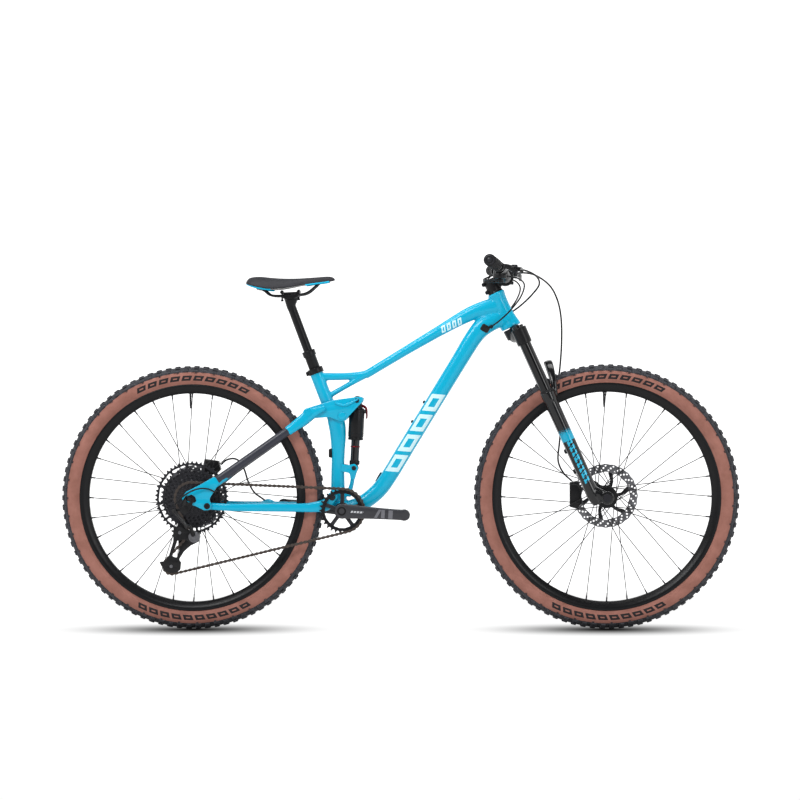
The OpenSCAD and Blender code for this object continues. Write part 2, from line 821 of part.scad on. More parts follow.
// The loop over cog, upper jockey, lower jockey and chainring, as [centre, radius, turn]
loop = [[bb_at, pitch_r(ring_teeth), 1], [rear_hub_at, pitch_r(cog_teeth), 1],
    [jockey_hi, pitch_r(jockey_teeth), -1], [jockey_lo, pitch_r(jockey_teeth), 1]];
function leg_angle(i) = let (a = loop[i], b = loop[(i + 1) % 4])
    run_angle(a[0], a[1], a[2], b[0], b[1], b[2]);
// Arc points round wheel i, pushed out by e to the right of the way round
function arc_points(i, e) = let (w = loop[i], a0 = leg_angle((i + 3) % 4), a1 = leg_angle(i),
    turn = w[2] > 0 ? (a1 - a0 + 720) % 360 : -((a0 - a1 + 720) % 360), n = ceil(abs(turn) / 10))
    [for (k = [0 : n]) touch(w[0], w[1] + w[2] * e, w[2], a0 + turn * k / n)];
function loop_points(e) = [for (i = [0 : 3]) each arc_points(i, e)];
module chain() {
    color(dark) for (y = [-2.7, 1.7]) slab(chain_y + y, chain_y + y + 1) difference() {
        polygon(loop_points(plate_h));
        polygon(loop_points(-plate_h));
    }
}

// Rear derailleur ---------------------------------------------------------------
link_hi = [-620, -94, 338];
link_lo = [-582, -112, 296];
// The parallelogram's hinges lie along this direction, square to the link
link_dir = (link_lo - link_hi) / norm(link_lo - link_hi);
hinge_lean = [-0.45, 0.6, -0.66];
hinge_dir = cross(link_dir, hinge_lean) / norm(cross(link_dir, hinge_lean));
module hinge_pin(p, r, a, b) {
    rod(p + a * hinge_dir, p + b * hinge_dir, r, r);
}
link_pin_r = 2.6;
module mech_link() {
    color(black) difference() {
        union() {
            rod(link_hi, link_lo, 4.6, 4.6);
            for (p = [link_hi, link_lo]) hinge_pin(p, 6.2, -4.5, 4.5);
        }
        for (p = [link_hi, link_lo]) hinge_pin(p, link_pin_r + run_gap, -8, 8);
    }
}
module mech_knuckle() {
    color(black) difference() {
        union() {
            pin(mech_pivot, 15, -84, -61);
            rod([-568, -80, 268], link_lo + 9.6 * hinge_dir, 7, 4.4);
            hinge_pin(link_lo, link_pin_r, -4.5, 10);
        }
        pin(mech_pivot, 5 + run_gap, -75, -60);
    }
}
module cage_outline() {
    translate(jockey_hi) circle(r = 15);
    translate(jockey_lo) circle(r = 13);
    polygon([jockey_hi + [-10, -11], jockey_hi + [14, 5], jockey_lo + [12, 5],
        jockey_lo + [-12, 5]]);
}
module mech_cage() {
    color(black) {
        slab(-44.6, -42.6) cage_outline();
        slab(-58.6, -56.6) {
            cage_outline();
            translate(mech_pivot) circle(r = 15);
            polygon([mech_pivot + [-4, 14], jockey_hi + [4, 14], jockey_hi + [6, -30],
                mech_pivot + [-8, -12]]);
        }
        for (p = [jockey_hi, jockey_lo]) pin(p, 2.5, -58.6, -42.6);
        pin(mech_pivot, 5, -74, -57);
    }
}
module jockey(p) {
    difference() {
        union() {
            slab(chain_y - 0.9, chain_y + 0.9) translate(p)
                toothed(jockey_teeth, pitch_r(jockey_teeth) + 2.2);
            pin(p, 7, chain_y - 5.6, chain_y + 4.6);
        }
        pin(p, 2.5 + run_gap, -70, -30);
    }
}
module jockey_upper() {
    color(black) jockey(jockey_hi);
}
module jockey_lower() {
    color(black) jockey(jockey_lo);
}

// Seat ---------------------------------------------------------------------------
module saddle() {
    color(dark) intersection() {
        slab(-80, 80) polygon([[-424, 975], [-415, 986], [-385, 988], [-318, 983], [-250, 986],
            [-199, 989], [-180, 985], [-176, 978], [-200, 971], [-285, 966], [-340, 950],
            [-365, 951], [-400, 964]]);
        linear_extrude(1200) polygon([for (s = [1, -1]) each saddle_side(s)]);
    }
}
saddle_half = [[-424, 34], [-408, 62], [-380, 72], [-345, 68], [-305, 44], [-270, 28],
    [-230, 21], [-188, 17], [-176, 9]];
function saddle_side(s) = [for (i = [0 : len(saddle_half) - 1])
    let (p = saddle_half[s > 0 ? i : len(saddle_half) - 1 - i]) [p[0], s * p[1]]];
rail_r = 3.5;
rail_pts = [[-370, 28, 948], [-358, 24, 937], [-340, 22, 934], [-268, 22, 938],
    [-250, 20, 944], [-228, 13, 964]];
module saddle_rails() {
    color(steel) mirrored_y() line(rail_pts, rail_r, 12);
}
module dropper_inner() {
    color(black) difference() {
        union() {
            on_seat_axis() translate([0, 0, -post_foot]) cylinder(h = 220, r = post_in_r);
            slab(-27, 27) polygon([[-328, 926], [-324, 942], [-278, 944], [-276, 930],
                [-290, 912], [-312, 908]]);
        }
        mirrored_y() rod(rail_pts[2], rail_pts[3], rail_r + 0.1, rail_r + 0.1);
        on_seat_axis() translate([0, 0, -22]) cylinder(h = 202, r = post_in_r - 2.5);
    }
}

// Lines ----------------------------------------------------------------------------
front_hose = [[330, 142, 997], [346, 122, 1000], [384, 92, 992], [424, 66, 962], [446, 52, 920],
    [456, 46, 868], [457, 44, 800], [452, 43, 730], [445, 43, 680], [444, 43, 640],
    [450, 43, 600], [453, 43, 560], [450, 43, 520], [446, 43, 470], [460, 42, 436],
    [484, 42, 412]];
shift_line = [[306, -168, 980], [336, -148, 974], [352, -110, 958], [342, -72, 926],
    [314, -50, 890], [284, -38, 862], [256, -28, 842]];
rear_hose_line = [[330, -142, 996], [352, -120, 998], [384, -80, 984], [394, -36, 962],
    [374, -2, 934], [344, 28, 906], [316, 46, 886], [284, 40, 866], [256, 28, 846]];
dropper_line = [[302, 168, 985], [330, 142, 976], [342, 102, 954], [330, 72, 920],
    [300, 52, 880], [268, 40, 850], [238, 28, 828]];
caliper_line = [[-506, 57, 460], [-490, 53, 473], [-468, 49, 477], [-450, 47, 467],
    [-438, 46, 444], [-428, 47, 412], [-412, 51, 382], [-392, 54, 366], [-378, 54, 356]];
mech_line = [[-505, -86, 388], [-526, -89, 398], [-556, -93, 398], [-588, -96, 383],
    [-612, -98, 362], [-618, -99, 353]];
module front_brake_hose() {
    color(black) line(front_hose, 2.5);
}
module control_cables() {
    color(black) {
        line(shift_line, 2.2);
        line(rear_hose_line, 2.5);
        line(dropper_line, 2.2);
        line(caliper_line, 2.5);
        line(mech_line, 2.2);
    }
}

head_tube();
top_tube();
down_tube();
seat_tube();
bb_shell();
shock_bracket();
headset_bearings();
bb_bearings();
seat_clamp();
dropper_outer();
frame_bolts();
fork_crown();
fork_stanchions();
stem();
headset_cap();
handlebar();
grips();
brake_masters();
shifter_body();
dropper_remote();
brake_blade_left();
brake_blade_right();
shift_paddle_main();
shift_paddle_release();
dropper_lever();
fork_lowers();
front_axle();
front_caliper();
front_tyre();
front_rim();
front_spokes();
front_hub();
front_rotor();
chainstays();
seatstays();
rear_axle();
rear_caliper();
mech_mount();
rocker_link();
shock_shaft();
shock_can();
rear_tyre();
rear_rim();
rear_spokes();
rear_hub();
rear_rotor();
cassette();
crank_arm_right();
crank_arm_left();
crank_spindle();
chainring();
mech_link();
mech_knuckle();
mech_cage();
jockey_upper();
jockey_lower();
saddle();
saddle_rails();
dropper_inner();
chain();
front_brake_hose();
control_cables();
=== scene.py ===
"""Mountain bike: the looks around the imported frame. Shapes are given in millimetres."""
import json
import math

import bmesh
import bpy
import numpy as np
from mathutils import Matrix, Vector


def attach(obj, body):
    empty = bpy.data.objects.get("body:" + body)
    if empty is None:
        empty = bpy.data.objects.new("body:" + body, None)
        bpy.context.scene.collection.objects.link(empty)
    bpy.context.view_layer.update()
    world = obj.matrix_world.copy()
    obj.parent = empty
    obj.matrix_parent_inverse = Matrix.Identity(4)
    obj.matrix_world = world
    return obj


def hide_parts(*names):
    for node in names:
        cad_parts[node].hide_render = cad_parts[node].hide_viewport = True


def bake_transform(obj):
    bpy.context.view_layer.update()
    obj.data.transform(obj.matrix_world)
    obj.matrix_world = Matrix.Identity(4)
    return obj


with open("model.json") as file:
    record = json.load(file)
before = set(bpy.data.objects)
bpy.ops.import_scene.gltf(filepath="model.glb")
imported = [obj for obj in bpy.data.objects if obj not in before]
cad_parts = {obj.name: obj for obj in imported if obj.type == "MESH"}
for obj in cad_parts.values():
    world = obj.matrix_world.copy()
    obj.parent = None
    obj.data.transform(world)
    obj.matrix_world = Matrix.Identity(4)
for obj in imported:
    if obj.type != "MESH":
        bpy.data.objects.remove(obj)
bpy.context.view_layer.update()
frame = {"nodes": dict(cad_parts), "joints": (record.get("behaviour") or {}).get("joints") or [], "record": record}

MM = 0.001
NODES = frame["nodes"]
JOINTS = {j["name"]: j for j in frame["joints"]}
SLOT_OF = {s["node"]: s["material_slot"] for s in frame["record"]["subparts"]}


def joint_at(name):
    """A joint's place in the centre plane, in millimetres."""
    p = JOINTS[name]["pos_m"]
    return np.array([p[0] / MM, p[2] / MM])


FRONT_HUB = joint_at("front_wheel_spin")
REAR_HUB = joint_at("rear_wheel_spin")
CRANK = joint_at("crank_spin")
MAIN_PIVOT = joint_at("rear_travel")
STAY_PIVOT = joint_at("stay_pivot")
ROCKER = joint_at("rocker_turn")
SHOCK_LOW = joint_at("damper_tilt")
CAGE = joint_at("cage_swing")
JOCKEY_HI = joint_at("jockey_top_spin")
JOCKEY_LO = joint_at("jockey_bottom_spin")
HEAD = joint_at("steer")
STEER_UP = np.array([JOINTS["steer"]["axis"][0], JOINTS["steer"]["axis"][2]])
STEER_FWD = np.array([STEER_UP[1], -STEER_UP[0]])
SEAT_DOWN = np.array([JOINTS["saddle_height"]["axis"][0], JOINTS["saddle_height"]["axis"][2]])
SHOCK_DOWN = np.array([JOINTS["damper_stroke"]["axis"][0], JOINTS["damper_stroke"]["axis"][2]])
SHOCK_LEN = 189.3
SHOCK_UP = SHOCK_LOW - SHOCK_DOWN * SHOCK_LEN
STAY_END = np.array([-250.0, 606.0])
SEAT_TOP = np.array([-232.0, 724.0])
LEG_Y = 68.0  # the fork legs stand this far to each side
DOWN_LOW, DOWN_HIGH = np.array([-38.0, 412.0]), np.array([212.0, 818.0])  # the down tube's straight run
DOWN_WAY = (DOWN_HIGH - DOWN_LOW) / np.linalg.norm(DOWN_HIGH - DOWN_LOW)


def at(p, y=0.0):
    """A centre-plane point [x, z] moved sideways to y."""
    return np.array([p[0], y, p[1]], float)


def steer(s, q=0.0, y=0.0):
    """A point s below the head tube's top along the steering axis and q in front of it."""
    return at(HEAD - s * STEER_UP + q * STEER_FWD, y)


def seat(u, q=0.0, y=0.0):
    """A point u above the seat tube's top along the post and q behind it."""
    return at(SEAT_TOP - u * SEAT_DOWN + q * np.array([SEAT_DOWN[1], -SEAT_DOWN[0]]), y)


# Mesh building ---------------------------------------------------------------
def join(*parts):
    """Several (points, faces) pairs as one."""
    pts, faces, base = [], [], 0
    for p, f in parts:
        pts.append(np.asarray(p, float).reshape(-1, 3))
        faces += [[i + base for i in face] for face in f]
        base += len(p)
    return np.vstack(pts), faces


def mirror_y(part):
    """The part and its mirror image across the centre plane."""
    p, f = part
    q = np.array(p, float) * [1, -1, 1]
    return join(part, (q, [face[::-1] for face in f]))


def flip_y(part):
    """The part mirrored across the centre plane, alone."""
    p, f = part
    return np.array(p, float) * [1, -1, 1], [face[::-1] for face in f]


def smooth_path(pts, per=6):
    """Points of a smooth curve through pts; extra columns, such as radii, go along."""
    p = np.asarray(pts, float)
    if len(p) < 3:
        return p
    ext = np.vstack([2 * p[0] - p[1], p, 2 * p[-1] - p[-2]])
    out = []
    for i in range(len(p) - 1):
        a, b, c, d = ext[i : i + 4]
        for t in np.arange(per) / per:
            out.append(
                0.5
                * (
                    2 * b
                    + (c - a) * t
                    + (2 * a - 5 * b + 4 * c - d) * t * t
                    + (3 * b - a - 3 * c + d) * t**3
                )
            )
    out.append(p[-1])
    return np.array(out)


def sweep(pts, radii, n=20, power=2.0, per=6, up=(0, 1, 0), closed=False):
    """A tube through pts. radii is one number, one per point, or (in-plane, sideways) pairs;
    a power above 2 squares the section off."""
    pts = np.asarray(pts, float)
    r = np.asarray(radii, float)
    if r.ndim == 0:
        r = np.full(len(pts), float(r))
    if r.ndim == 1:
        r = np.stack([r, r], 1)
    row = np.hstack([pts, r])
    if per > 1:
        row = smooth_path(row, per)
    p, r = row[:, :3], row[:, 3:5]
    way = np.gradient(p, axis=0)
    way /= np.linalg.norm(way, axis=1)[:, None]
    side = np.empty_like(p)
    last = np.array(up, float)
    if abs(way[0] @ last) > 0.95 * np.linalg.norm(last):
        last = np.array([1.0, 0, 0])
    for i, w in enumerate(way):
        last = last - w * (last @ w)
        last /= np.linalg.norm(last)
        side[i] = last
    depth = np.cross(way, side)
    a = np.arange(n) * 2 * math.pi / n
    ca, sa = np.cos(a), np.sin(a)
    ca = np.sign(ca) * np.abs(ca) ** (2 / power)
    sa = np.sign(sa) * np.abs(sa) ** (2 / power)
    ring = (
        p[:, None]
        + depth[:, None] * (r[:, None, :1] * ca[None, :, None])
        + side[:, None] * (r[:, None, 1:2] * sa[None, :, None])
    )
    m = len(p)
    faces = []
    for i in range(m - 1 if not closed else m):
        j = (i + 1) % m
        for k in range(n):
            l = (k + 1) % n
            faces.append([i * n + k, i * n + l, j * n + l, j * n + k])
    if not closed:
        faces.append(list(range(n))[::-1])
        faces.append([(m - 1) * n + k for k in range(n)])
    return ring.reshape(-1, 3), faces


def rod(a, b, r1, r2=None, n=24):
    """A straight round bar, tapered where r2 is given."""
    return sweep([a, b], [r1, r1 if r2 is None else r2], n, per=1)


def lathe(profile, hub, n=96):
    """A closed profile of (radius, sideways place) spun about the axle line through a hub point."""
    prof = np.asarray(profile, float)
    a = np.arange(n) * 2 * math.pi / n
    m = len(prof)
    pts = np.empty((n, m, 3))
    pts[:, :, 0] = hub[0] + prof[None, :, 0] * np.cos(a)[:, None]
    pts[:, :, 1] = (hub[2] if len(hub) > 2 else 0) + prof[None, :, 1]
    pts[:, :, 2] = hub[1] + prof[None, :, 0] * np.sin(a)[:, None]
    faces = []
    for i in range(n):
        j = (i + 1) % n
        for k in range(m):
            l = (k + 1) % m
            faces.append([i * m + k, j * m + k, j * m + l, i * m + l])
    return pts.reshape(-1, 3), faces


def turned(steps, a, b, n=40):
    """A turned piece from point a towards b; steps are (mm along, radius)."""
    a, b = np.array(a, float), np.array(b, float)
    way = (b - a) / np.linalg.norm(b - a)
    pts = [a + way * s for s, _ in steps]
    p = np.array(pts)
    up = (0, 1, 0) if abs(way[1]) < 0.9 else (1, 0, 0)
    side = np.array(up, float) - way * np.dot(up, way)
    side /= np.linalg.norm(side)
    depth = np.cross(way, side)
    ang = np.arange(n) * 2 * math.pi / n
    m = len(steps)
    ring = np.array(
        [
            p[i] + steps[i][1] * (math.cos(t) * depth + math.sin(t) * side)
            for i in range(m)
            for t in ang
        ]
    )
    faces = [
        [i * n + k, i * n + (k + 1) % n, (i + 1) * n + (k + 1) % n, (i + 1) * n + k]
        for i in range(m - 1)
        for k in range(n)
    ]
    faces.append(list(range(n))[::-1])
    faces.append([(m - 1) * n + k for k in range(n)])
    return ring, faces


def outwards(steps, c, side, n=36):
    """A turned piece that starts at c and points straight out to one side."""
    return turned(steps, c, c + [0, side, 0], n)


def block(lo, hi):
    """A box between two corners."""
    lo, hi = np.array(lo, float), np.array(hi, float)
    pts = [[(lo, hi)[i][0], (lo, hi)[j][1], (lo, hi)[k][2]] for i in (0, 1) for j in (0, 1) for k in (0, 1)]
    return np.array(pts), [[0, 1, 3, 2], [4, 6, 7, 5], [0, 4, 5, 1],
                    [2, 3, 7, 6], [0, 2, 6, 4], [1, 5, 7, 3]]


def prism(outline, y0, y1):
    """An outline of [x, z] points given thickness from y0 to y1."""
    o = np.asarray(outline, float)
    n = len(o)
    pts = np.vstack([np.stack([o[:, 0], np.full(n, y), o[:, 1]], 1) for y in (y0, y1)])
    area = np.sum(o[:, 0] * np.roll(o[:, 1], -1) - o[:, 1] * np.roll(o[:, 0], -1))
    faces = [[i, (i + 1) % n, n + (i + 1) % n, n + i] for i in range(n)]
    faces += [list(range(n))[::-1], [n + i for i in range(n)]]
    if area > 0:
        faces = [f[::-1] for f in faces]
    return pts, faces


def circle(c, r, n=32, a0=0.0, a1=360.0):
    """Points on a circle round c, or on its arc from a0 to a1 degrees."""
    t = np.radians(np.linspace(a0, a1, n, endpoint=(a1 - a0) < 360))
    return np.stack([c[0] + r * np.cos(t), c[1] + r * np.sin(t)], 1)


def rounded(outline, r, n=5):
    """An outline with its corners rounded; r is one radius or one for each corner."""
    o = np.asarray(outline, float)
    m = len(o)
    rr = np.full(m, r, float) if np.isscalar(r) else np.asarray(r, float)
    out = []
    for i in range(m):
        p, a, b = o[i], o[i - 1], o[(i + 1) % m]
        u, v = (a - p) / np.linalg.norm(a - p), (b - p) / np.linalg.norm(b - p)
        half = math.acos(max(-1, min(1, float(u @ v)))) / 2
        d = min(rr[i] / math.tan(half), 0.45 * np.linalg.norm(a - p), 0.45 * np.linalg.norm(b - p))
        for t in np.linspace(0, 1, n):
            q = (1 - t) ** 2 * (p + u * d) + 2 * t * (1 - t) * p + t * t * (p + v * d)
            out.append(q)
    return np.array(out)


# Pieces ------------------------------------------------------------------------
def new_object(name, part, materials, face_material=None, smooth=True):
    """An object from points in millimetres, with its materials."""
    pts, faces = part
    me = bpy.data.meshes.new(name)
    me.from_pydata((np.asarray(pts) * MM).tolist(), [], [list(map(int, f)) for f in faces])
    me.validate()
    for m in materials:
        me.materials.append(m)
    if face_material is not None:
        me.polygons.foreach_set("material_index", np.asarray(face_material, np.int32))
    me.polygons.foreach_set("use_smooth", [smooth] * len(me.polygons))
    ob = bpy.data.objects.new(name, me)
    bpy.context.scene.collection.objects.link(ob)
    return ob


def apply_modifiers(ob):
    """The object's mesh with its modifiers applied."""
    bpy.context.view_layer.update()
    deps = bpy.context.evaluated_depsgraph_get()
    me = bpy.data.meshes.new_from_object(ob.evaluated_get(deps))
    ob.modifiers.clear()
    ob.data = me
    return ob


def sharpen(ob, angle=32):
    """Smooth shading that keeps edges above an angle crisp."""
    bm = bmesh.new()
    bm.from_mesh(ob.data)
    bmesh.ops.recalc_face_normals(bm, faces=bm.faces)
    limit = math.radians(angle)
    for e in bm.edges:
        e.smooth = len(e.link_faces) == 2 and e.calc_face_angle(0) < limit
    for f in bm.faces:
        f.smooth = True
    bm.to_mesh(ob.data)
    bm.free()
    return ob


def settle(ob, body, slot=None, replaces=()):
    """Hangs a finished piece on its body; a piece given two bodies is only fixed where it stands, its transform
    baked in.
    """
    if isinstance(body, str):
        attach(ob, body)
    else:
        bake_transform(ob)
    if replaces:
        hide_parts(*replaces)
        slot = slot or SLOT_OF[replaces[0]]
    return ob


def piece(name, part, material, body, replaces=(), slot=None, bevel=0.0, angle=32, sub=0, segs=2):
    """A mesh piece: bevelled edges where bevel, in millimetres, is above zero."""
    mats = material if isinstance(material, (list, tuple)) else [material]
    ob = new_object(name, part, mats)
    if bevel:
        m = ob.modifiers.new("bevel", "BEVEL")
        m.width = bevel * MM
        m.segments = segs
        m.limit_method = "ANGLE"
        m.angle_limit = math.radians(40)
    if sub:
        m = ob.modifiers.new("sub", "SUBSURF")
        m.levels = m.render_levels = sub
    if bevel or sub:
        apply_modifiers(ob)
    sharpen(ob, angle)
    return settle(ob, body, slot, replaces)


def melted(name, parts, voxel, rounds, material):
    """Closed parts melted into one skin, with soft fillets where they meet."""
    ob = new_object(name, join(*parts), [material])
    m = ob.modifiers.new("melt", "REMESH")
    m.mode = "VOXEL"
    m.voxel_size = voxel * MM
    apply_modifiers(ob)
    m = ob.modifiers.new("soften", "SMOOTH")
    m.factor = 0.5
    m.iterations = rounds
    return apply_modifiers(ob)


def fused(name, parts, voxel, rounds, material, body, replaces=(), slot=None, keep=0.5):
    """A melted piece, thinned to a share of its faces and hung on its body."""
    ob = melted(name, parts, voxel, rounds, material)
    if keep < 1:
        m = ob.modifiers.new("thin", "DECIMATE")
        m.ratio = keep
        apply_modifiers(ob)
    for p in ob.data.polygons:
        p.use_smooth = True
    ob.data.materials.clear()
    ob.data.materials.append(material)
    return settle(ob, body, slot, replaces)


def plates(name, loops, spans, material, body, replaces=(), slot=None, bevel=0.0):
    """Flat plates with holes: loops are outlines, the first round the rest; spans are (y0, y1)."""
    obs = []
    for y0, y1 in spans:
        cu = bpy.data.curves.new(name, "CURVE")
        cu.dimensions = "2D"
        cu.fill_mode = "BOTH"
        for lp in loops:
            sp = cu.splines.new("POLY")
            sp.points.add(len(lp) - 1)
            flat = np.zeros((len(lp), 4))
            flat[:, :2] = np.asarray(lp) * MM
            flat[:, 3] = 1
            sp.points.foreach_set("co", flat.ravel())
            sp.use_cyclic_u = True
        cu.extrude = ((y1 - y0) / 2 - bevel) * MM
        cu.bevel_depth = bevel * MM
        cu.bevel_resolution = 1
        cu.offset = -bevel * MM
        tmp = bpy.data.objects.new(name, cu)
        bpy.context.scene.collection.objects.link(tmp)
        bpy.context.view_layer.update()
        me = bpy.data.meshes.new_from_object(tmp.evaluated_get(bpy.context.evaluated_depsgraph_get()))
        me.transform(Matrix.Translation((0, (y0 + y1) / 2 * MM, 0)) @ Matrix.Rotation(math.pi / 2, 4, "X"))
        bpy.data.objects.remove(tmp)
        obs.append(me)
    bm = bmesh.new()
    for me in obs:
        bm.from_mesh(me)
    bmesh.ops.remove_doubles(bm, verts=bm.verts, dist=1e-6)
    me = bpy.data.meshes.new(name)
    bm.to_mesh(me)
    bm.free()
    me.materials.clear()
    me.materials.append(material)
    ob = bpy.data.objects.new(name, me)
    bpy.context.scene.collection.objects.link(ob)
    sharpen(ob, 28)
    return settle(ob, body, slot, replaces)


# Materials ----------------------------------------------------------------------
def srgb(r, g, b):
    """A colour given in 0 to 255 as shown, made linear."""
    def lin(c):
        c /= 255
        return c / 12.92 if c <= 0.04045 else ((c + 0.055) / 1.055) ** 2.4
    return (lin(r), lin(g), lin(b), 1.0)


class Look:
    """A small helper for building one material's nodes."""

    def __init__(self, name, color, rough=0.5, metal=0.0, coat=0.0, coat_rough=0.05, spec=None, sheen=0.0):
        self.mat = bpy.data.materials.new(name)
        self.mat.use_nodes = True
        self.tree = self.mat.node_tree
        self.shader = self.tree.nodes["Principled BSDF"]
        self.put("Base Color", color)
        self.put("Roughness", rough)
        self.put("Metallic", metal)
        self.put("Coat Weight", coat)
        self.put("Coat Roughness", coat_rough)
        if spec is not None:
            self.put("Specular IOR Level", spec)
        if sheen:
            self.put("Sheen Weight", sheen)
        self.coords = self.node("ShaderNodeTexCoord").outputs["Object"]
        self.mat.diffuse_color = color

    def put(self, socket, value):
        self.shader.inputs[socket].default_value = value

    def node(self, kind, **settings):
        n = self.tree.nodes.new(kind)
        for k, v in settings.items():
            setattr(n, k, v)
        return n

    def link(self, a, b):
        self.tree.links.new(a, b)

    def noise(self, scale, detail=3.0, rough=0.5, coords=None):
        n = self.node("ShaderNodeTexNoise")
        n.inputs["Scale"].default_value = scale
        n.inputs["Detail"].default_value = detail
        n.inputs["Roughness"].default_value = rough
        self.link(coords or self.coords, n.inputs["Vector"])
        return n.outputs["Fac"]

    def ramp(self, fac, stops):
        n = self.node("ShaderNodeValToRGB")
        e = n.color_ramp.elements
        while len(e) < len(stops):
            e.new(0.5)
        for i, (pos, col) in enumerate(stops):
            e[i].position = pos
            e[i].color = col if len(col) == 4 else (*col, 1)
        self.link(fac, n.inputs["Fac"])
        return n.outputs["Color"]

    def math(self, op, a, b=0.0, c=None):
        n = self.node("ShaderNodeMath", operation=op)
        for i, v in enumerate((a, b, c)):
            if v is None:
                continue
            if isinstance(v, (int, float)):
                n.inputs[i].default_value = v
            else:
                self.link(v, n.inputs[i])
        return n.outputs[0]

    def mix(self, fac, a, b):
        n = self.node("ShaderNodeMix", data_type="RGBA")
        for socket, v in ((n.inputs["Factor"], fac), (n.inputs[6], a), (n.inputs[7], b)):
            if isinstance(v, (tuple, float, int)):
                socket.default_value = v
            else:
                self.link(v, socket)
        return n.outputs[2]

    def color(self, out):
        self.link(out, self.shader.inputs["Base Color"])

    def vary_rough(self, lo, hi, scale=60, detail=3.0):
        n = self.node("ShaderNodeMapRange")
        n.inputs["To Min"].default_value = lo
        n.inputs["To Max"].default_value = hi
        self.link(self.noise(scale, detail), n.inputs["Value"])
        self.link(n.outputs[0], self.shader.inputs["Roughness"])

    def bump(self, height, strength=0.2, distance=0.0002):
        n = self.node("ShaderNodeBump")
        n.inputs["Strength"].default_value = strength
        n.inputs["Distance"].default_value = distance
        self.link(height, n.inputs["Height"])
        self.link(n.outputs[0], self.shader.inputs["Normal"])

    def wear(self, base, worn, amount=0.35, scale=90):
        """Edges rubbed towards another colour, broken up by noise."""
        geo = self.node("ShaderNodeNewGeometry")
        edge = self.ramp(geo.outputs["Pointiness"], [(0.53, (0, 0, 0)), (0.62, (1, 1, 1))])
        rub = self.math("MULTIPLY", edge, self.noise(scale, 6, 0.7))
        self.color(self.mix(self.math("MULTIPLY", rub, amount), base, worn))


def axis_coords(look, origin, way, across):
    """Distances along two directions from an origin, in millimetres, for plain blocks of colour."""
    out = []
    for d in (way, across):
        n = look.node("ShaderNodeVectorMath", operation="DOT_PRODUCT")
        look.link(look.coords, n.inputs[0])
        n.inputs[1].default_value = tuple(float(v) for v in d)
        k = look.math("SUBTRACT", n.outputs["Value"], float(np.dot(origin, d) * MM))
        out.append(look.math("MULTIPLY", k, 1 / MM))
    return out


def between(look, v, lo, hi):
    """A mask that is 1 where v lies between lo and hi."""
    return look.math(
        "MULTIPLY", look.math("GREATER_THAN", v, lo), look.math("LESS_THAN", v, hi)
    )


def any_of(look, masks):
    """Where at least one of the masks is on."""
    out = masks[0]
    for m in masks[1:]:
        out = look.math("MAXIMUM", out, m)
    return out


CYAN = srgb(0, 170, 206)
PALE = srgb(205, 236, 242)


def cyan_look(name):
    """The frame's cyan: slightly uneven under a thin gloss coat."""
    look = Look(name, CYAN, 0.3, 0.0, 0.35, 0.05, spec=0.2)
    deep = tuple(c * 0.86 for c in CYAN[:3]) + (1,)
    return look, look.mix(look.math("MULTIPLY", look.noise(9, 2), 0.5), CYAN, deep)


def frame_paint():
    """The cyan paint without marks."""
    look, base = cyan_look("cyan_paint")
    look.color(base)
    look.bump(look.noise(700, 2), 0.03, 0.0001)
    return look.mat


def down_paint():
    """Cyan paint with a row of plain pale slanted bars along the down tube."""
    look, base = cyan_look("cyan_paint_bars")
    across = np.array([DOWN_WAY[1], -DOWN_WAY[0]])
    s, t = axis_coords(look, at(DOWN_LOW), at(DOWN_WAY), at(across))
    slanted = look.math("ADD", s, look.math("MULTIPLY", t, -0.5))
    first, step, wide, rows = 36.0, 66.0, 54.0, 4
    phase = look.math("MODULO", look.math("SUBTRACT", slanted, first), step)
    bars = look.math("MULTIPLY", look.math("LESS_THAN", phase, wide), between(look, t, -16.5, 17.0))
    bars = look.math("MULTIPLY", bars, between(look, slanted, first, first + step * rows - 12.0))
    slit = look.math("MULTIPLY", between(look, t, -8.0, 8.0), between(look, phase, 13.0, 41.0))
    bars = look.math("MULTIPLY", bars, look.math("SUBTRACT", 1.0, slit))
    # four small slanted blocks near the front of the top tube
    rear, front = np.array([122.0, 836.0]), np.array([182.0, 863.0])
    way = (front - rear) / np.linalg.norm(front - rear)
    s2, t2 = axis_coords(look, at(rear), at(way), at(np.array([-way[1], way[0]])))
    lean = look.math("ADD", s2, look.math("MULTIPLY", t2, -0.3))
    ph2 = look.math("MODULO", lean, 16.5)
    small = look.math("MULTIPLY", look.math("LESS_THAN", ph2, 11.5), between(look, t2, -8.5, 10.5))
    small = look.math("MULTIPLY", small, between(look, lean, 0.0, 62.0))
    slot = look.math("MULTIPLY", between(look, t2, -4.0, 5.5), between(look, ph2, 3.8, 7.8))
    small = look.math("MULTIPLY", small, look.math("SUBTRACT", 1.0, slot))
    bars = look.math("MAXIMUM", bars, small)
    look.color(look.mix(bars, base, PALE))
    look.bump(look.noise(700, 2), 0.03, 0.0001)
    return look.mat


def plain(name, color, rough=0.45, metal=0.0, coat=0.0, grain=300, bump=0.05, worn=None, spread=0.08):
    """A one-colour finish with fine grain and uneven roughness, and rubbed edges where worn is given."""
    look = Look(name, color, rough, metal, coat, 0.08, spec=0.25)
    lo = tuple(max(c * 0.8, 0) for c in color[:3]) + (1,)
    base = look.mix(look.noise(grain / 6, 3), lo, color)
    if worn:
        look.wear(base, worn)
    else:
        look.color(base)
    look.vary_rough(max(rough - spread, 0.02), rough + spread, grain / 4)
    look.bump(look.noise(grain * 4, 4), bump, 0.0001)
    return look.mat


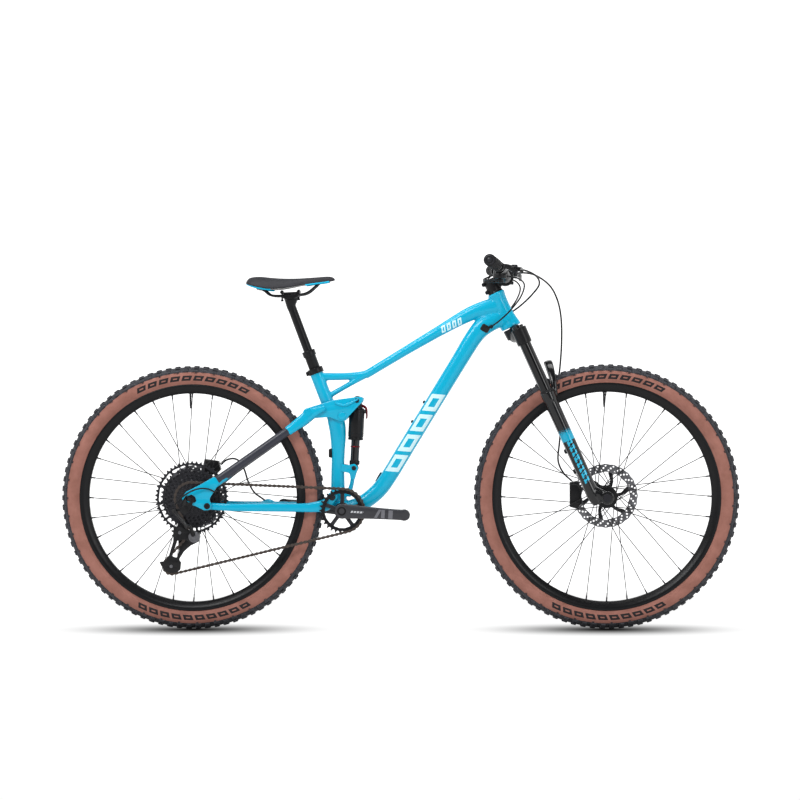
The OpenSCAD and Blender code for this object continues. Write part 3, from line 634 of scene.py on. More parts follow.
PAINT = frame_paint()
DOWN_PAINT = down_paint()
SLEEVE = plain("anthracite_paint", srgb(50, 52, 62), 0.42, 0, 0.25, worn=srgb(90, 92, 100))
BLACK = plain("satin_black_anodised", srgb(16, 16, 18), 0.34, 0.1, worn=srgb(58, 58, 62))
GLOSS = plain("gloss_black_paint", srgb(6, 6, 8), 0.12, 0.0, 0.3)
PLASTIC = plain("black_composite", srgb(18, 18, 20), 0.42, 0.0, 0.1, 500, 0.12)
DARK_STEEL = plain("blackened_steel", srgb(26, 26, 30), 0.34, 0.3, worn=srgb(80, 80, 84))
BOLT = plain("bolt_steel", srgb(50, 50, 54), 0.3, 0.6)
STEEL = plain("ground_steel", srgb(116, 116, 120), 0.34, 0.75)
CHAIN = plain("oiled_chain_steel", srgb(78, 70, 66), 0.36, 0.6, worn=srgb(120, 112, 106))
CRANK_GREY = plain("crank_grey_paint", srgb(34, 34, 40), 0.42, 0.1, 0.2, worn=srgb(72, 72, 78))
CYAN_PRINT = plain("cyan_print", srgb(0, 178, 218), 0.4)
RED = plain("dark_red_anodised", srgb(110, 18, 28), 0.3, 0.7)
HOSE = plain("black_hose", srgb(14, 14, 16), 0.45, 0, 0.1)
SHAFT = plain("polished_shaft", srgb(20, 20, 23), 0.12, 0.3, 0.6)
# the pale rubbed edges are partly tooth wear and partly a painted highlight on the cog edges
CASSETTE = plain("cassette_steel", srgb(46, 46, 50), 0.34, 0.5, worn=srgb(150, 150, 154))
RUBBER = plain("grip_rubber", srgb(20, 20, 22), 0.75, 0, 0, 600, 0.3)
SPOKE = plain("black_spoke_wire", srgb(24, 24, 27), 0.4, 0.0, 0.1)


def tread_look():
    """Tread rubber, a little dusty."""
    look = Look("tread_rubber", srgb(46, 47, 54), 0.82, 0, 0, sheen=0.1)
    dust = look.ramp(look.noise(40, 6, 0.65), [(0.45, srgb(38, 39, 45)), (0.75, srgb(62, 62, 68))])
    look.color(dust)
    look.bump(look.noise(1800, 5, 0.7), 0.35, 0.0003)
    return look.mat


def side_wall_blocks(look, tone):
    """Plain dark slanted blocks at the top and the bottom of each wheel's side walls."""
    split = look.node("ShaderNodeSeparateXYZ")
    look.link(look.coords, split.inputs[0])
    x, z = split.outputs[0], split.outputs[2]
    front = look.math("GREATER_THAN", x, float((FRONT_HUB[0] + REAR_HUB[0]) / 2 * MM))
    gap = float((FRONT_HUB[0] - REAR_HUB[0]) * MM)
    hub_x = look.math("ADD", look.math("MULTIPLY", front, gap), float(REAR_HUB[0] * MM))
    x = look.math("SUBTRACT", x, hub_x)
    z = look.math("SUBTRACT", z, float(REAR_HUB[1] * MM))
    r = look.math("SQRT", look.math("ADD", look.math("MULTIPLY", x, x), look.math("MULTIPLY", z, z)))
    turn = look.math("ARCTAN2", look.math("ABSOLUTE", z), x)
    slant = look.math("ADD", look.math("MULTIPLY", look.math("SUBTRACT", turn, math.pi / 2), 335.0),
                      look.math("MULTIPLY", look.math("SUBTRACT", r, 0.335), 450.0))
    phase = look.math("MODULO", look.math("ADD", slant, 165.0), 33.0)
    row = look.math("MULTIPLY", between(look, r, 0.3285, 0.3425), between(look, slant, -165.0, 161.0))
    letter = look.math("MULTIPLY", row, look.math("LESS_THAN", phase, 26.0))
    hole = look.math("MULTIPLY", between(look, r, 0.3338, 0.3372), between(look, phase, 7.0, 19.0))
    letter = look.math("MULTIPLY", letter, look.math("SUBTRACT", 1.0, hole))
    return look.mix(letter, tone, srgb(34, 30, 32))


def tan_look():
    """Skin-coloured side wall: a fine casing weave under thin rubber."""
    look = Look("tan_side_wall", srgb(148, 100, 88), 0.72, spec=0.25)
    tone = look.ramp(look.noise(30, 5, 0.6), [(0.3, srgb(138, 92, 80)), (0.7, srgb(158, 108, 96))])
    look.color(side_wall_blocks(look, tone))
    w = look.node("ShaderNodeTexWave", wave_type="RINGS", rings_direction="Y")
    w.inputs["Scale"].default_value = 420
    w.inputs["Distortion"].default_value = 0.6
    look.link(look.coords, w.inputs["Vector"])
    mixed = look.math("ADD", w.outputs["Fac"], look.math("MULTIPLY", look.noise(1500, 3), 0.8))
    look.bump(mixed, 0.12, 0.0002)
    return look.mat


TREAD = tread_look()
TAN = tan_look()
NODE_LOOK = {
    "frame_paint": PAINT, "bearing_black": BLACK, "black_anodised": BLACK, "bolt_steel": BOLT,
    "fork_black": GLOSS, "stanchion_black": GLOSS, "grip_rubber": RUBBER,
    "control_plastic": PLASTIC, "blade_alloy": BLACK, "caliper_black": BLACK,
    "tyre_rubber": TREAD, "rim_black": BLACK, "spoke_steel": SPOKE, "rotor_steel": STEEL,
    "mech_black": PLASTIC, "shock_shaft_steel": SHAFT, "shock_black": BLACK,
    "cassette_steel": CASSETTE, "crank_grey": CRANK_GREY, "ring_black": DARK_STEEL,
    "chain_steel": CHAIN, "saddle_cover": PLASTIC, "rail_steel": DARK_STEEL, "hose_black": HOSE,
}


def dress_nodes():
    """Every carried-over CAD node gets its slot's finish."""
    for name, ob in NODES.items():
        ob.data.materials.clear()
        ob.data.materials.append(NODE_LOOK[SLOT_OF[name]])


SHADOW_GLOW, GLOW_FAR = 0.0, 1.02  # the floor's own light: a painted contact shadow under a tyre, and even elsewhere
KEY = 96  # watts
FLOOR_GAP = 1.2  # the floor lies this far below the tyres


# Camera and room ------------------------------------------------------------------
def camera_and_room():
    """The camera, a white sweep with a painted contact shadow under each tyre, and three area lights."""
    yaw, pitch, roll = (math.radians(v) for v in (2.42, 0.78, -0.25))
    view = Vector((-math.sin(yaw) * math.cos(pitch), math.cos(yaw) * math.cos(pitch), -math.sin(pitch)))
    right = Vector((math.cos(yaw), math.sin(yaw), 0))
    up = right.cross(view)
    r2 = right * math.cos(roll) + up * math.sin(roll)
    u2 = up * math.cos(roll) - right * math.sin(roll)
    cam_data = bpy.data.cameras.new("camera")
    cam = bpy.data.objects.new("camera", cam_data)
    rot = Matrix((r2, u2, -view)).transposed()
    cam.matrix_world = Matrix.Translation((0.300, -7.0, 0.737)) @ rot.to_4x4()
    cam_data.sensor_width = 36
    cam_data.lens = 2504 / 800 * 36
    cam_data.clip_end = 60
    bpy.context.scene.collection.objects.link(cam)
    bpy.context.scene.camera = cam

    # colours are shown as they are, without a film curve
    bpy.context.scene.view_settings.view_transform = "Standard"
    world = bpy.data.worlds.new("room")
    bpy.context.scene.world = world
    world.use_nodes = True
    back = world.node_tree.nodes["Background"]
    back.inputs["Color"].default_value = (0.9, 0.95, 1, 1)
    back.inputs["Strength"].default_value = 0.16

    # a seamless sweep: flat floor that curves up into a lit wall, on all sides
    look = Look("pale_sweep", (0.35, 0.35, 0.35, 1), 0.9, spec=0.0)
    geo = look.node("ShaderNodeNewGeometry")
    glow = None
    # painted contact shadow: the floor's glow falls off in a dark ellipse round each tyre's contact
    for hub in (FRONT_HUB, REAR_HUB):
        offset = look.node("ShaderNodeVectorMath", operation="SUBTRACT")
        offset.inputs[1].default_value = (float(hub[0] * MM), 0, 0)
        squash = look.node("ShaderNodeVectorMath", operation="MULTIPLY")
        squash.inputs[1].default_value = (1 / 0.42, 1 / 0.20, 0)
        away = look.node("ShaderNodeVectorMath", operation="LENGTH")
        look.link(geo.outputs["Position"], offset.inputs[0])
        look.link(offset.outputs[0], squash.inputs[0])
        look.link(squash.outputs[0], away.inputs[0])
        shadow_patch = look.node("ShaderNodeMapRange", interpolation_type="SMOOTHSTEP")
        for k, v in (("From Min", 0.0), ("From Max", 1.0), ("To Min", SHADOW_GLOW), ("To Max", GLOW_FAR)):
            shadow_patch.inputs[k].default_value = v
        look.link(away.outputs["Value"], shadow_patch.inputs["Value"])
        glow = shadow_patch.outputs[0] if glow is None else look.math("MINIMUM", glow, shadow_patch.outputs[0])
    look.put("Emission Color", (1, 1, 1, 1))
    look.link(glow, look.shader.inputs["Emission Strength"])
    prof = [(1.2, 0.0), (2.4, 0.0)]
    prof += [(2.4 + 1.6 * math.sin(t), 1.6 - 1.6 * math.cos(t)) for t in np.linspace(0.15, math.pi / 2, 10)]
    prof += [(4.0, 3.6)]
    pts, faces = [], []
    turn = 72
    for r, z in prof:
        for k in range(turn):
            a = k * 2 * math.pi / turn
            # wide to the sides, long and flat towards the camera
            long = 1 if math.sin(a) > 0 else 4
            rise = z if math.sin(a) > -0.2 else 0
            pts.append((r * 1.5 * math.cos(a) / MM, r * long * math.sin(a) / MM, rise / MM - FLOOR_GAP))
    for i in range(len(prof) - 1):
        for k in range(turn):
            near, far = i * turn, (i + 1) * turn
            after = (k + 1) % turn
            faces.append([near + k, near + after, far + after, far + k])
    faces.append(list(range(turn)))
    new_object("sweep", (np.array(pts), faces), [look.mat])

    def area(name, loc, aim, size, power):
        d = bpy.data.lights.new(name, "AREA")
        d.shape = "RECTANGLE"
        d.size, d.size_y = size
        d.energy = power
        o = bpy.data.objects.new(name, d)
        o.location = loc
        o.rotation_euler = (Vector(aim) - Vector(loc)).to_track_quat("-Z", "Y").to_euler()
        bpy.context.scene.collection.objects.link(o)

    area("key", (-1.8, -3.2, 3.0), (0, 0, 0.5), (2.4, 1.2), KEY)
    area("fill", (2.8, -3.4, 1.8), (0, 0, 0.5), (1.2, 2.2), KEY * 0.45)
    area("top", (0, -0.2, 3.2), (0, 0, 0.4), (3.6, 1.4), KEY * 0.8)


# Wheels --------------------------------------------------------------------------
TYRE_MID = 340.0
CASING = 26.3
TAN_TOP = 62.0


def casing_point(hub, turn, lean, lift=0.0):
    """A point on the tyre: turn round the wheel, lean round the section from the crown."""
    r = TYRE_MID + (CASING + lift) * math.cos(lean)
    return [hub[0] + r * math.cos(turn), (CASING + lift) * math.sin(lean), hub[1] + r * math.sin(turn)]


def knob(hub, turn, lean, half_turn, half_lean, height, skew=0.0):
    """One tread block standing on the casing, with a small chamfer round its top."""
    pts = []
    for lift, shrink in ((-1.2, 1.0), (height - 0.9, 0.93), (height, 0.74)):
        for u, v in ((-1, -1), (1, -1), (1, 1), (-1, 1)):
            pts.append(
                casing_point(
                    hub, turn + (u * half_turn + v * skew) * shrink, lean + v * half_lean * shrink, lift
                )
            )
    faces = [[8, 9, 10, 11]]
    for a in (0, 4):
        faces += [[a + i, a + (i + 1) % 4, a + 4 + (i + 1) % 4, a + 4 + i] for i in range(4)]
    return pts, faces


def tyre(name, hub, body, node, rows=86):
    """Casing with tan side walls, rows of tread blocks and two beads."""
    rad = math.radians
    prof = []
    for lean in np.arange(-152, 153, 8.0):
        prof.append((TYRE_MID + CASING * math.cos(rad(lean)), CASING * math.sin(rad(lean))))
    inner = []
    for lean in np.arange(148, -149, -16.0):
        inner.append((TYRE_MID + (CASING - 3) * math.cos(rad(lean)), (CASING - 3) * math.sin(rad(lean))))
    loop = prof + inner
    casing = lathe(loop, hub, 192)
    n, m = 192, len(loop)
    leans = list(np.arange(-152, 153, 8.0))
    tones = []
    for i in range(n):
        for k in range(m):
            outer = k < len(prof) - 1
            lean = abs((leans[k] + leans[k + 1]) / 2) if outer else 0
            tones.append(1 if outer and lean > TAN_TOP else 0)
    step = 2 * math.pi / rows
    parts = [casing]
    for i in range(rows):
        a = i * step
        odd = i % 2
        for s in (-1, 1):
            if odd:
                parts.append(knob(hub, a, s * rad(10), step * 0.27, rad(7.2), 3.6, s * 0.0016))
                parts.append(knob(hub, a, s * rad(33), step * 0.26, rad(6.4), 3.8, -s * 0.002))
            else:
                parts.append(knob(hub, a, s * rad(15.5), step * 0.30, rad(6.0), 3.6, -s * 0.0016))
                parts.append(knob(hub, a, s * rad(36), step * 0.24, rad(6.6), 3.8, s * 0.002))
            parts.append(
                knob(hub, a + step * 0.1, s * rad(56 if odd else 53),
                     step * (0.33 if odd else 0.26), rad(8.0), 4.4)
            )
            if odd:
                parts.append(knob(hub, a, s * rad(69), step * 0.12, rad(2.4), 1.6))
    part = join(*parts)
    tones += [0] * (len(part[1]) - len(tones))
    for s in (-1, 1):
        bead = [(318.5, s * 17.2), (321.5, s * 18.6), (324, s * 19.8), (322, s * 17.6), (318.5, s * 15.6)]
        ring = lathe(bead if s > 0 else bead[::-1], hub, 192)
        part = join(part, ring)
        tones += [1] * len(ring[1])
    ob = new_object(name, part, [TREAD, TAN], tones)
    sharpen(ob, 30)
    return settle(ob, body, replaces=(node,))


def rim(name, hub, body, node, valve_turn=math.pi / 2):
    """A hollow rim with its valve."""
    prof = [
        (295, -8), (292.4, -5.5), (292, 0), (292.4, 5.5), (295, 8), (304, 14.6), (309, 16.6),
        (316.2, 17.4), (317.4, 16.9), (317.4, 15.2), (316, 14.4), (309, 14.2), (308, 0),
        (309, -14.2), (316, -14.4), (317.4, -15.2), (317.4, -16.9), (316.2, -17.4), (309, -16.6),
        (304, -14.6),
    ]
    part = lathe(prof[::-1], hub, 192)
    piece(name, part, BLACK, body, replaces=(node,), angle=40)
    c = np.array([hub[0], 0, hub[1]])
    out = np.array([math.cos(valve_turn), 0, math.sin(valve_turn)])
    stem = turned(
        [(250, 1.2), (251, 2.6), (257, 2.6), (257.5, 3.0), (291, 3.0), (291.2, 5.0), (293.5, 5.0)],
        c, c + out, 20,
    )
    piece(name + "_valve", stem, DARK_STEEL, body, slot="rim_black", angle=40)


def spokes(name, hub, body, node, y_left, y_right, count=32):
    """Crossed wire spokes with a bent head at the flange and a nipple at the rim."""
    wires, nipples = [], []
    step = 2 * math.pi / count
    for i in range(count):
        side = 1 if i % 2 == 0 else -1
        lean = 1 if i % 4 < 2 else -1
        a = i * step
        b = a + lean * math.radians(66)
        flange = y_left if side > 0 else y_right
        y = flange + lean * 2.4
        head = np.array([hub[0] + 26 * math.cos(b), y, hub[1] + 26 * math.sin(b)])
        end = np.array([hub[0] + 291 * math.cos(a), side * 3.0, hub[1] + 291 * math.sin(a)])
        way = (end - head) / np.linalg.norm(end - head)
        wires.append(sweep([head, head + way * 12, end - way * 12, end], [1.3, 1.15, 1.15, 1.25], 8, per=1))
        wires.append(rod([head[0], flange - lean * 3.0, head[2]], [head[0], y, head[2]], 1.5, 1.2, 8))
        nipples.append(
            turned([(0, 1.4), (1, 2.0), (9, 2.0), (11, 2.7), (14, 2.7)], end - way * 10, end, 6)
        )
    piece(name, join(*wires), SPOKE, body, replaces=(node,), angle=60)
    piece(name + "_nipples", join(*nipples), DARK_STEEL, body, slot="spoke_steel", angle=30)


def hub_shell(name, hub, body, node, y0, y1, y_left, y_right, bore, rotor_y):
    """A turned hub with two spoke flanges and the rotor seat."""
    prof = [
        (bore, y0), (13.5, y0), (14.5, y0 + 1), (14.5, y_right - 4), (30.3, y_right - 2.2),
        (30.6, y_right - 1.4), (30.6, y_right + 1.4), (30.3, y_right + 2.2), (17, y_right + 4.5),
        (13.8, y_right + 14), (13.2, (y_left + y_right) / 2), (13.8, y_left - 14),
        (17, y_left - 4.5), (30.3, y_left - 2.2), (30.6, y_left - 1.4), (30.6, y_left + 1.4),
        (30.3, y_left + 2.2), (19, y_left + 4.5), (18.5, rotor_y - 2), (21.5, rotor_y - 1.5),
        (21.5, rotor_y + 1.2), (20.5, rotor_y + 2.4), (14.5, rotor_y + 3), (13.5, y1), (bore, y1),
    ]
    part = lathe(prof, hub, 72)
    piece(name, part, BLACK, body, replaces=(node,), angle=28)


def rotor(name, hub, body, node, y):
    """A wavy-edged, drilled brake disc on a dark six-armed carrier."""
    turn = np.radians(np.arange(0, 360, 1.25))
    edge = 89.2 + 0.8 * np.cos(turn * 24)
    outer = np.stack([hub[0] + edge * np.cos(turn), hub[1] + edge * np.sin(turn)], 1)
    inner_r = 66.5 + 1.0 * np.cos(turn * 12)
    inner = np.stack([hub[0] + inner_r * np.cos(turn), hub[1] + inner_r * np.sin(turn)], 1)
    loops = [outer, inner[::-1]]
    for k in range(24):
        a = k * 2 * math.pi / 24
        for r, size, da in ((84.5, 2.4, 0.0), (78.2, 2.6, 0.075), (72.0, 2.4, 0.15)):
            c = (hub[0] + r * math.cos(a + da), hub[1] + r * math.sin(a + da))
            loops.append(circle(c, size, 12)[::-1])
    plates(name, loops, [(y - 0.9, y + 0.9)], STEEL, body, replaces=(node,), bevel=0.15)
    arms = []
    for k in range(6):
        a = k * math.pi / 3

        def ray(r, da):
            return np.array([hub[0] + r * math.cos(a + da), hub[1] + r * math.sin(a + da)])
        limb = [ray(24, -0.22), ray(45, 0.02), ray(67.5, 0.22), ray(68.5, 0.42),
                    ray(62, 0.40), ray(44, 0.22), ray(24, 0.25)]
        arms.append(prism(rounded(limb, 3, 3), y - 0.85, y + 0.85))
    carrier = lathe([(16.2, y - 1.0), (27, y - 1.0), (27, y + 1.0), (16.2, y + 1.0)], hub, 64)
    piece(name + "_carrier", join(carrier, *arms), DARK_STEEL, body, slot="rotor_steel", bevel=0.2)
    screws = []
    for k in range(6):
        a = (k + 0.5) * math.pi / 3
        c = at((hub[0] + 22 * math.cos(a), hub[1] + 22 * math.sin(a)), y + 1.0)
        screws.append(turned([(0, 3.6), (1.6, 3.4), (2.2, 2.6)], c, c + [0, 1, 0], 16))
    piece(name + "_screws", join(*screws), BOLT, body, slot="bolt_steel")


def wheels():
    """Both wheels with their discs."""
    for end, hub, y_left, y_right, rotor_y, axle, ends in (
        ("front", FRONT_HUB, 24.0, -32.0, 41.0, 7.55, (-49.6, 49.6)),
        ("rear", REAR_HUB, 36.0, -19.0, 60.0, 6.05, (-24.5, 73.6)),
    ):
        body = end + "_wheel"
        tyre(end + "_tyre_piece", hub, body, end + "_tyre")
        rim(end + "_rim_piece", hub, body, end + "_rim", math.pi / 2 + 0.02)
        spokes(end + "_spoke_set", hub, body, end + "_spokes", y_left, y_right)
        hub_shell(end + "_hub_shell", hub, body, end + "_hub", *ends, y_left, y_right, axle, rotor_y)
        rotor(end + "_disc", hub, body, end + "_rotor", rotor_y)


# Frame ---------------------------------------------------------------------------
def path(points):
    """Centre-plane points for a sweep."""
    return [at(p) for p in points]


def side_path(points):
    """Points off the centre plane, given as (x, z, y)."""
    return [(x, y, z) for x, z, y in points]


def main_frame():
    """Main tubes melted together with soft weld fillets, and the shock ears."""
    head = sweep(
        [steer(s) for s in (0, 7, 18, 50, 80, 97, 106)], [24.6, 24.2, 22.4, 22, 25, 28.6, 29], 40, per=4
    )
    top = sweep(
        path(((283, 905), (235, 894), (190, 876), (120, 837), (33, 786.5), (-30, 749), (-92, 712))),
        [(26, 19), (22, 20), (19.5, 20), (15.5, 19), (13, 17), (12, 16), (11.5, 14)], 32, 2.7,
    )
    strut = sweep(
        path(((-62, 729), (-96, 713.5), (-150, 708.3), (-222, 708))),
        [(10.5, 14), (10.5, 13), (10.2, 12), (11, 13)], 24, 2.8,
    )
    branch = sweep(
        path(((-66, 727), (-94, 711), (-140, 685), (-188, 658), (-204, 649))),
        [(10.5, 14), (9, 13.5), (7.2, 12.5), (7.6, 12), (9, 12)], 24, 2.6,
    )
    down = sweep(
        path(((-150, 338), (-112, 350), (-76, 372), (-38, 413), (30, 523),
             (104, 643), (170, 750), (214, 820), (246, 852), (296, 872))),
        [(20, 28), (21, 27), (22.3, 26), (22.6, 25), (22.6, 25),
          (22.6, 25), (23, 25), (24.5, 25), (27, 24), (22, 20)],
        36, 2.8,
    )
    seat_t = sweep(
        path(((-171, 382), (-171, 440), (-170, 490), (-170, 545),
             (-175, 583), (-186, 608), (-203, 646), (-232, 723))),
        [(20, 20), (18.6, 18), (18.8, 18), (22.5, 18.4), (24, 18.5), (19.5, 18.5), (18.3, 18.3),
            (18.6, 18.6)],
        32, 2.3,
    )
    boss = rod(at(ROCKER, -22.5), at(ROCKER, 22.5), 15.5, n=40)
    shell = rod(at(CRANK, -36.5), at(CRANK, 36.5), 23.5, n=48)
    pivot = rod(at(MAIN_PIVOT, -25), at(MAIN_PIVOT, 25), 14.5, n=40)
    web = sweep([at((-171, 392)), at((-166, 360)), at(CRANK)], [(19, 22), (21, 24), (21, 26)], 28, 2.6)
    web_low = sweep([at(MAIN_PIVOT), at((-172, 352)), at(CRANK)], [(13, 22), (14, 22), (16, 22)], 28, 2.6)
    leg = sweep(
        path(((-129, 431), (-131, 412), (-138, 386), (-142, 372))),
        [(6.5, 11), (6, 12), (7, 13), (8, 14)], 20, 2.6,
    )
    parts = [head, top, strut, branch, down, seat_t, boss, shell, pivot, web, web_low, leg]
    fused(
        "main_frame", parts, 2.0, 9, DOWN_PAINT, "frame",
        replaces=("head_tube", "top_tube", "down_tube", "seat_tube", "bb_shell"), keep=0.45,
    )
    ears = rounded(
        [SHOCK_LOW + [-36, -9], SHOCK_LOW + [-36, 12], SHOCK_LOW + [-14, 8], SHOCK_LOW + [2, 13],
         SHOCK_LOW + [13, 1], SHOCK_LOW + [6, -14], SHOCK_LOW + [1, -32], SHOCK_LOW + [-9, -32],
         SHOCK_LOW + [-12, -14]], [4, 5, 14, 10, 9, 12, 3, 3, 8], 6,
    )
    plates("shock_ears", [ears, circle(SHOCK_LOW, 4.0)[::-1]], [(-17, -12.7), (12.7, 17)], PAINT,
           "frame", replaces=("shock_bracket",), bevel=0.8)


def rear_triangle():
    # chainstays
    """Chainstays, seatstays, dropouts and the dark stay sleeves."""
    stay = sweep(
        side_path(((-186, 366, 38.4), (-204, 350, 40), (-240, 344, 40.6), (-278, 343, 41.6),
            (-370, 344.5, 55), (-455, 345.5, 68), (-505, 348, 68.8), (-532, 350, 68.4))),
        [(15, 6.6), (17, 5.6), (14, 5.8), (12, 7.2), (11.5, 8.2), (10.5, 6.6), (10, 5.1), (9.5, 5)], 24,
            3.0,
    )
    ear = rod(at(MAIN_PIVOT, 30), at(MAIN_PIVOT, 45.4), 14.5, n=40)
    end = rod(at(STAY_PIVOT, 63.2), at(STAY_PIVOT, 73.4), 10.5, n=32)
    yoke = sweep([at((-201, 344), 38), at((-199.5, 343.5), 20), at((-199.5, 343.5), -20),
        at((-201, 344), -38)],
                 [(10, 7), (6, 6), (6, 6), (10, 7)], 20, per=5, up=(0, 0, 1))
    port = sweep([at((-392, 353), 55), at((-372, 358), 54.5),
                 at((-352, 352), 52)], [(3, 3), (5, 4.5), (3, 3)], 16)
    fused("chainstay_pair", [mirror_y(stay), mirror_y(ear), mirror_y(end), yoke, port], 1.7, 7, PAINT,
          "chainstay", replaces=("chainstays",), keep=0.5)
    for s in (-1, 1):
        a = at(STAY_PIVOT, s * 82.0)
        cap = outwards([(0, 8.6), (1.6, 8.6), (2.4, 7.8), (2.4, 4.4), (1.2, 4.0)], a, s)
        piece("stay_pivot_bolt_" + ("right" if s < 0 else "left"),
              cap, DARK_STEEL, "seatstay", slot="bolt_steel")
    # seatstays: dropout, sleeve, upper end
    drop = rounded(
        [(-496, 414), (-508, 433), (-548, 410), (-588, 390), (-601, 374), (-596, 361), (-560, 349),
         (-538, 338), (-522, 339), (-517, 352), (-524, 370), (-512, 388)],
        [8, 8, 22, 14, 8, 8, 20, 9, 9, 10, 14, 18], 6,
    )
    plates("dropouts", [drop, circle(REAR_HUB, 6.2)[::-1]], [(-82, -74.6), (74.6, 82)], PAINT, "seatstay",
           slot="frame_paint", bevel=1.4)
    insert = rounded([(-590, 372), (-586, 365), (-566, 359), (-559, 364), (-563, 376), (-574, 383)], 4, 5)
    piece("axle_inserts", mirror_y(prism(insert, 81.4, 82.8)), DARK_STEEL, "seatstay",
          slot="bolt_steel", bevel=0.4)
    yoke = sweep(side_path(((-548, 392, 77.5), (-524, 405, 75.4), (-498, 421, 71.6), (-478, 436, 68.6))),
                 [(13, 4.4), (14, 5.6), (12.6, 8), (11.4, 9)], 24, 2.6)
    upper = sweep(side_path(((-308, 556, 46.6), (-292, 567.5, 44.2), (-270, 584, 40.5), (-250, 600, 38.4),
        (-226, 613, 37.8), (-204, 621.5, 37.4))),
        [(13.2, 9.4), (13.8, 8.6), (15.5, 7), (15.5, 5.6), (11.5, 5.2), (7, 4.6)], 24, 2.8)
    pivot = rod(at(STAY_END, 32.6), at(STAY_END, 43.4), 15.5, n=40)
    fused("seatstay_pair", [mirror_y(yoke), mirror_y(upper), mirror_y(pivot)], 1.7, 6, PAINT, "seatstay",
          replaces=("seatstays",), keep=0.5)
    sleeve = sweep(side_path(((-502, 420.5, 71.4), (-440, 464, 63.6), (-370, 513, 55), (-303, 560, 46))),
        [(12.4, 9.4), (12, 9.8), (12, 9.8), (12.2, 8.8)], 28, 2.5)
    piece("stay_sleeves", mirror_y(sleeve), SLEEVE, "seatstay", slot="frame_paint", bevel=1.2, angle=50)


def rocker_and_shock():
    """Rocker plates and bolts, and the shock with its fittings."""
    outline = rounded(
        [(-265, 603), (-259, 619), (-184, 642), (-108, 652), (-98, 647), (-100, 637), (-137, 598),
         (-147, 585), (-162, 583.5), (-192, 595), (-250, 591)],
        [9, 9, 10, 8, 4, 5, 10, 10, 10, 12, 12], 6,
    )
    holes = [circle(ROCKER, 6.2)[::-1], circle(SHOCK_UP, 4.0)[::-1]]
    plates("rocker_plates", [outline] + holes, [(-31, -24.2), (24.2, 31)], PAINT, "rocker",
           replaces=("rocker_link",), bevel=1.6)
    covers = turned([(31.2, 11.5), (32.6, 11.2), (33.6, 10.2), (33.8, 3)], at(ROCKER), at(ROCKER, 1), 40)
    axle = rod(at(ROCKER, -31.4), at(ROCKER, 31.4), 5.9, n=32)
    piece("rocker_axle", join(mirror_y(covers), axle), PAINT, "frame", slot="frame_paint", bevel=0.4)
    rib = sweep([(-176, 32.2, 634), (-148, 32.4, 628), (-112, 32.0, 645)],
                [(3.2, 2.4), (4, 2.8), (3, 2)], 14, per=6)
    piece("rocker_ribs", mirror_y(rib), PAINT, "rocker", slot="frame_paint", angle=60)
    a = at(SHOCK_UP, 31.0)
    steps = [(-62, 3.9), (0, 3.9), (0, 6.2), (1.8, 6.2), (2.6, 5.2), (2.6, 2.6), (1.4, 2.4)]
    piece("rocker_bolts", mirror_y(turned(steps, a, a +
     [0, 1, 0], 32)), DARK_STEEL, "rocker", slot="bolt_steel")
    stub = at(STAY_END, 24.0)
    piece("stay_end_bolts", mirror_y(turned([(0, 3.5), (18.4, 3.5), (18.4, 8.4), (20.6, 8.0), (20.6, 3)],
        stub, stub + [0, 1, 0], 32)),
          PAINT, "rocker", slot="frame_paint")
    up = at(-SHOCK_DOWN)
    base = at(SHOCK_LOW)
    can = turned(
        [(78, 14), (78.2, 20.2), (79, 21.2), (84, 21.4), (84.4, 20.2), (87, 20.2), (87.4, 21.6),
         (162, 21.6), (164, 21.0), (167.5, 19), (168.5, 15.5), (181, 13.5), (184, 10)],
        base, base + up, 56,
    )
    eye = [turned([(-11.4, 12.5), (-11.4, 12.5), (11.4, 12.5)], at(SHOCK_UP), at(SHOCK_UP) + [0, 1, 0], 40)]
    rings = [turned([(s, 21.4), (s + 0.4, 22.2), (s + 2.2, 22.2), (s + 2.6, 21.4)],
                    base, base + up, 56) for s in (96, 156)]
    piece("shock_body", join(can, *eye, *rings), BLACK, "damper_can", replaces=("shock_can",),
          bevel=0.4, angle=30)
    knob_at = base + up * 172 + np.array([18.0, 0, 0])
    lever = sweep([base + up * 176 + [10, 0, 0], knob_at + [6, 0, -4], knob_at + [9, 0, -24],
        knob_at + [8, 0, -34]],
                  [(4, 5), (3.4, 4.6), (2.6, 4.4), (2.2, 4)], 16, 2.6)
    piece("shock_lever", lever, RED, "damper_can", slot="shock_black", angle=50)
    turn = turned([(0, 5.5), (7, 5.5), (8, 4.8)], base + up * 158 + \
                  [19, -4, 0], base + up * 158 + [30, -4, 0], 20)
    valve = turned([(0, 4.2), (10, 4.2), (11, 3.4)], base + up * 172 + \
                   [0, -12, 0], base + up * 172 + [0, -24, 0], 20)
    piece("shock_knobs", join(turn, valve), PLASTIC, "damper_can", slot="shock_black", bevel=0.3)
    shaft = turned([(10, 12.2), (108, 12.2), (108.2, 11)], base, base + up, 48)
    low_eye = turned([(-11.4, 11.5), (-11, 12), (11, 12), (11.4, 11.5)], base, base + [0, 1, 0], 40)
    collar = turned([(9, 13.5), (13, 14.5), (20, 14.5), (22, 12.2)], base, base + up, 40)
    piece("shock_shaft_piece", shaft, SHAFT, "damper_shaft", replaces=("shock_shaft",), angle=40)
    piece("shock_foot", join(low_eye, collar), BLACK, "damper_shaft", slot="shock_black", bevel=0.4)
    oring = turned([(s, r) for s, r in ((58, 12.2), (58.4, 13.5), (59.8, 14),
                   (61.2, 13.5), (61.6, 12.2))], base, base + up, 40)
    piece("travel_ring", oring, RED, "damper_shaft", slot="shock_black")


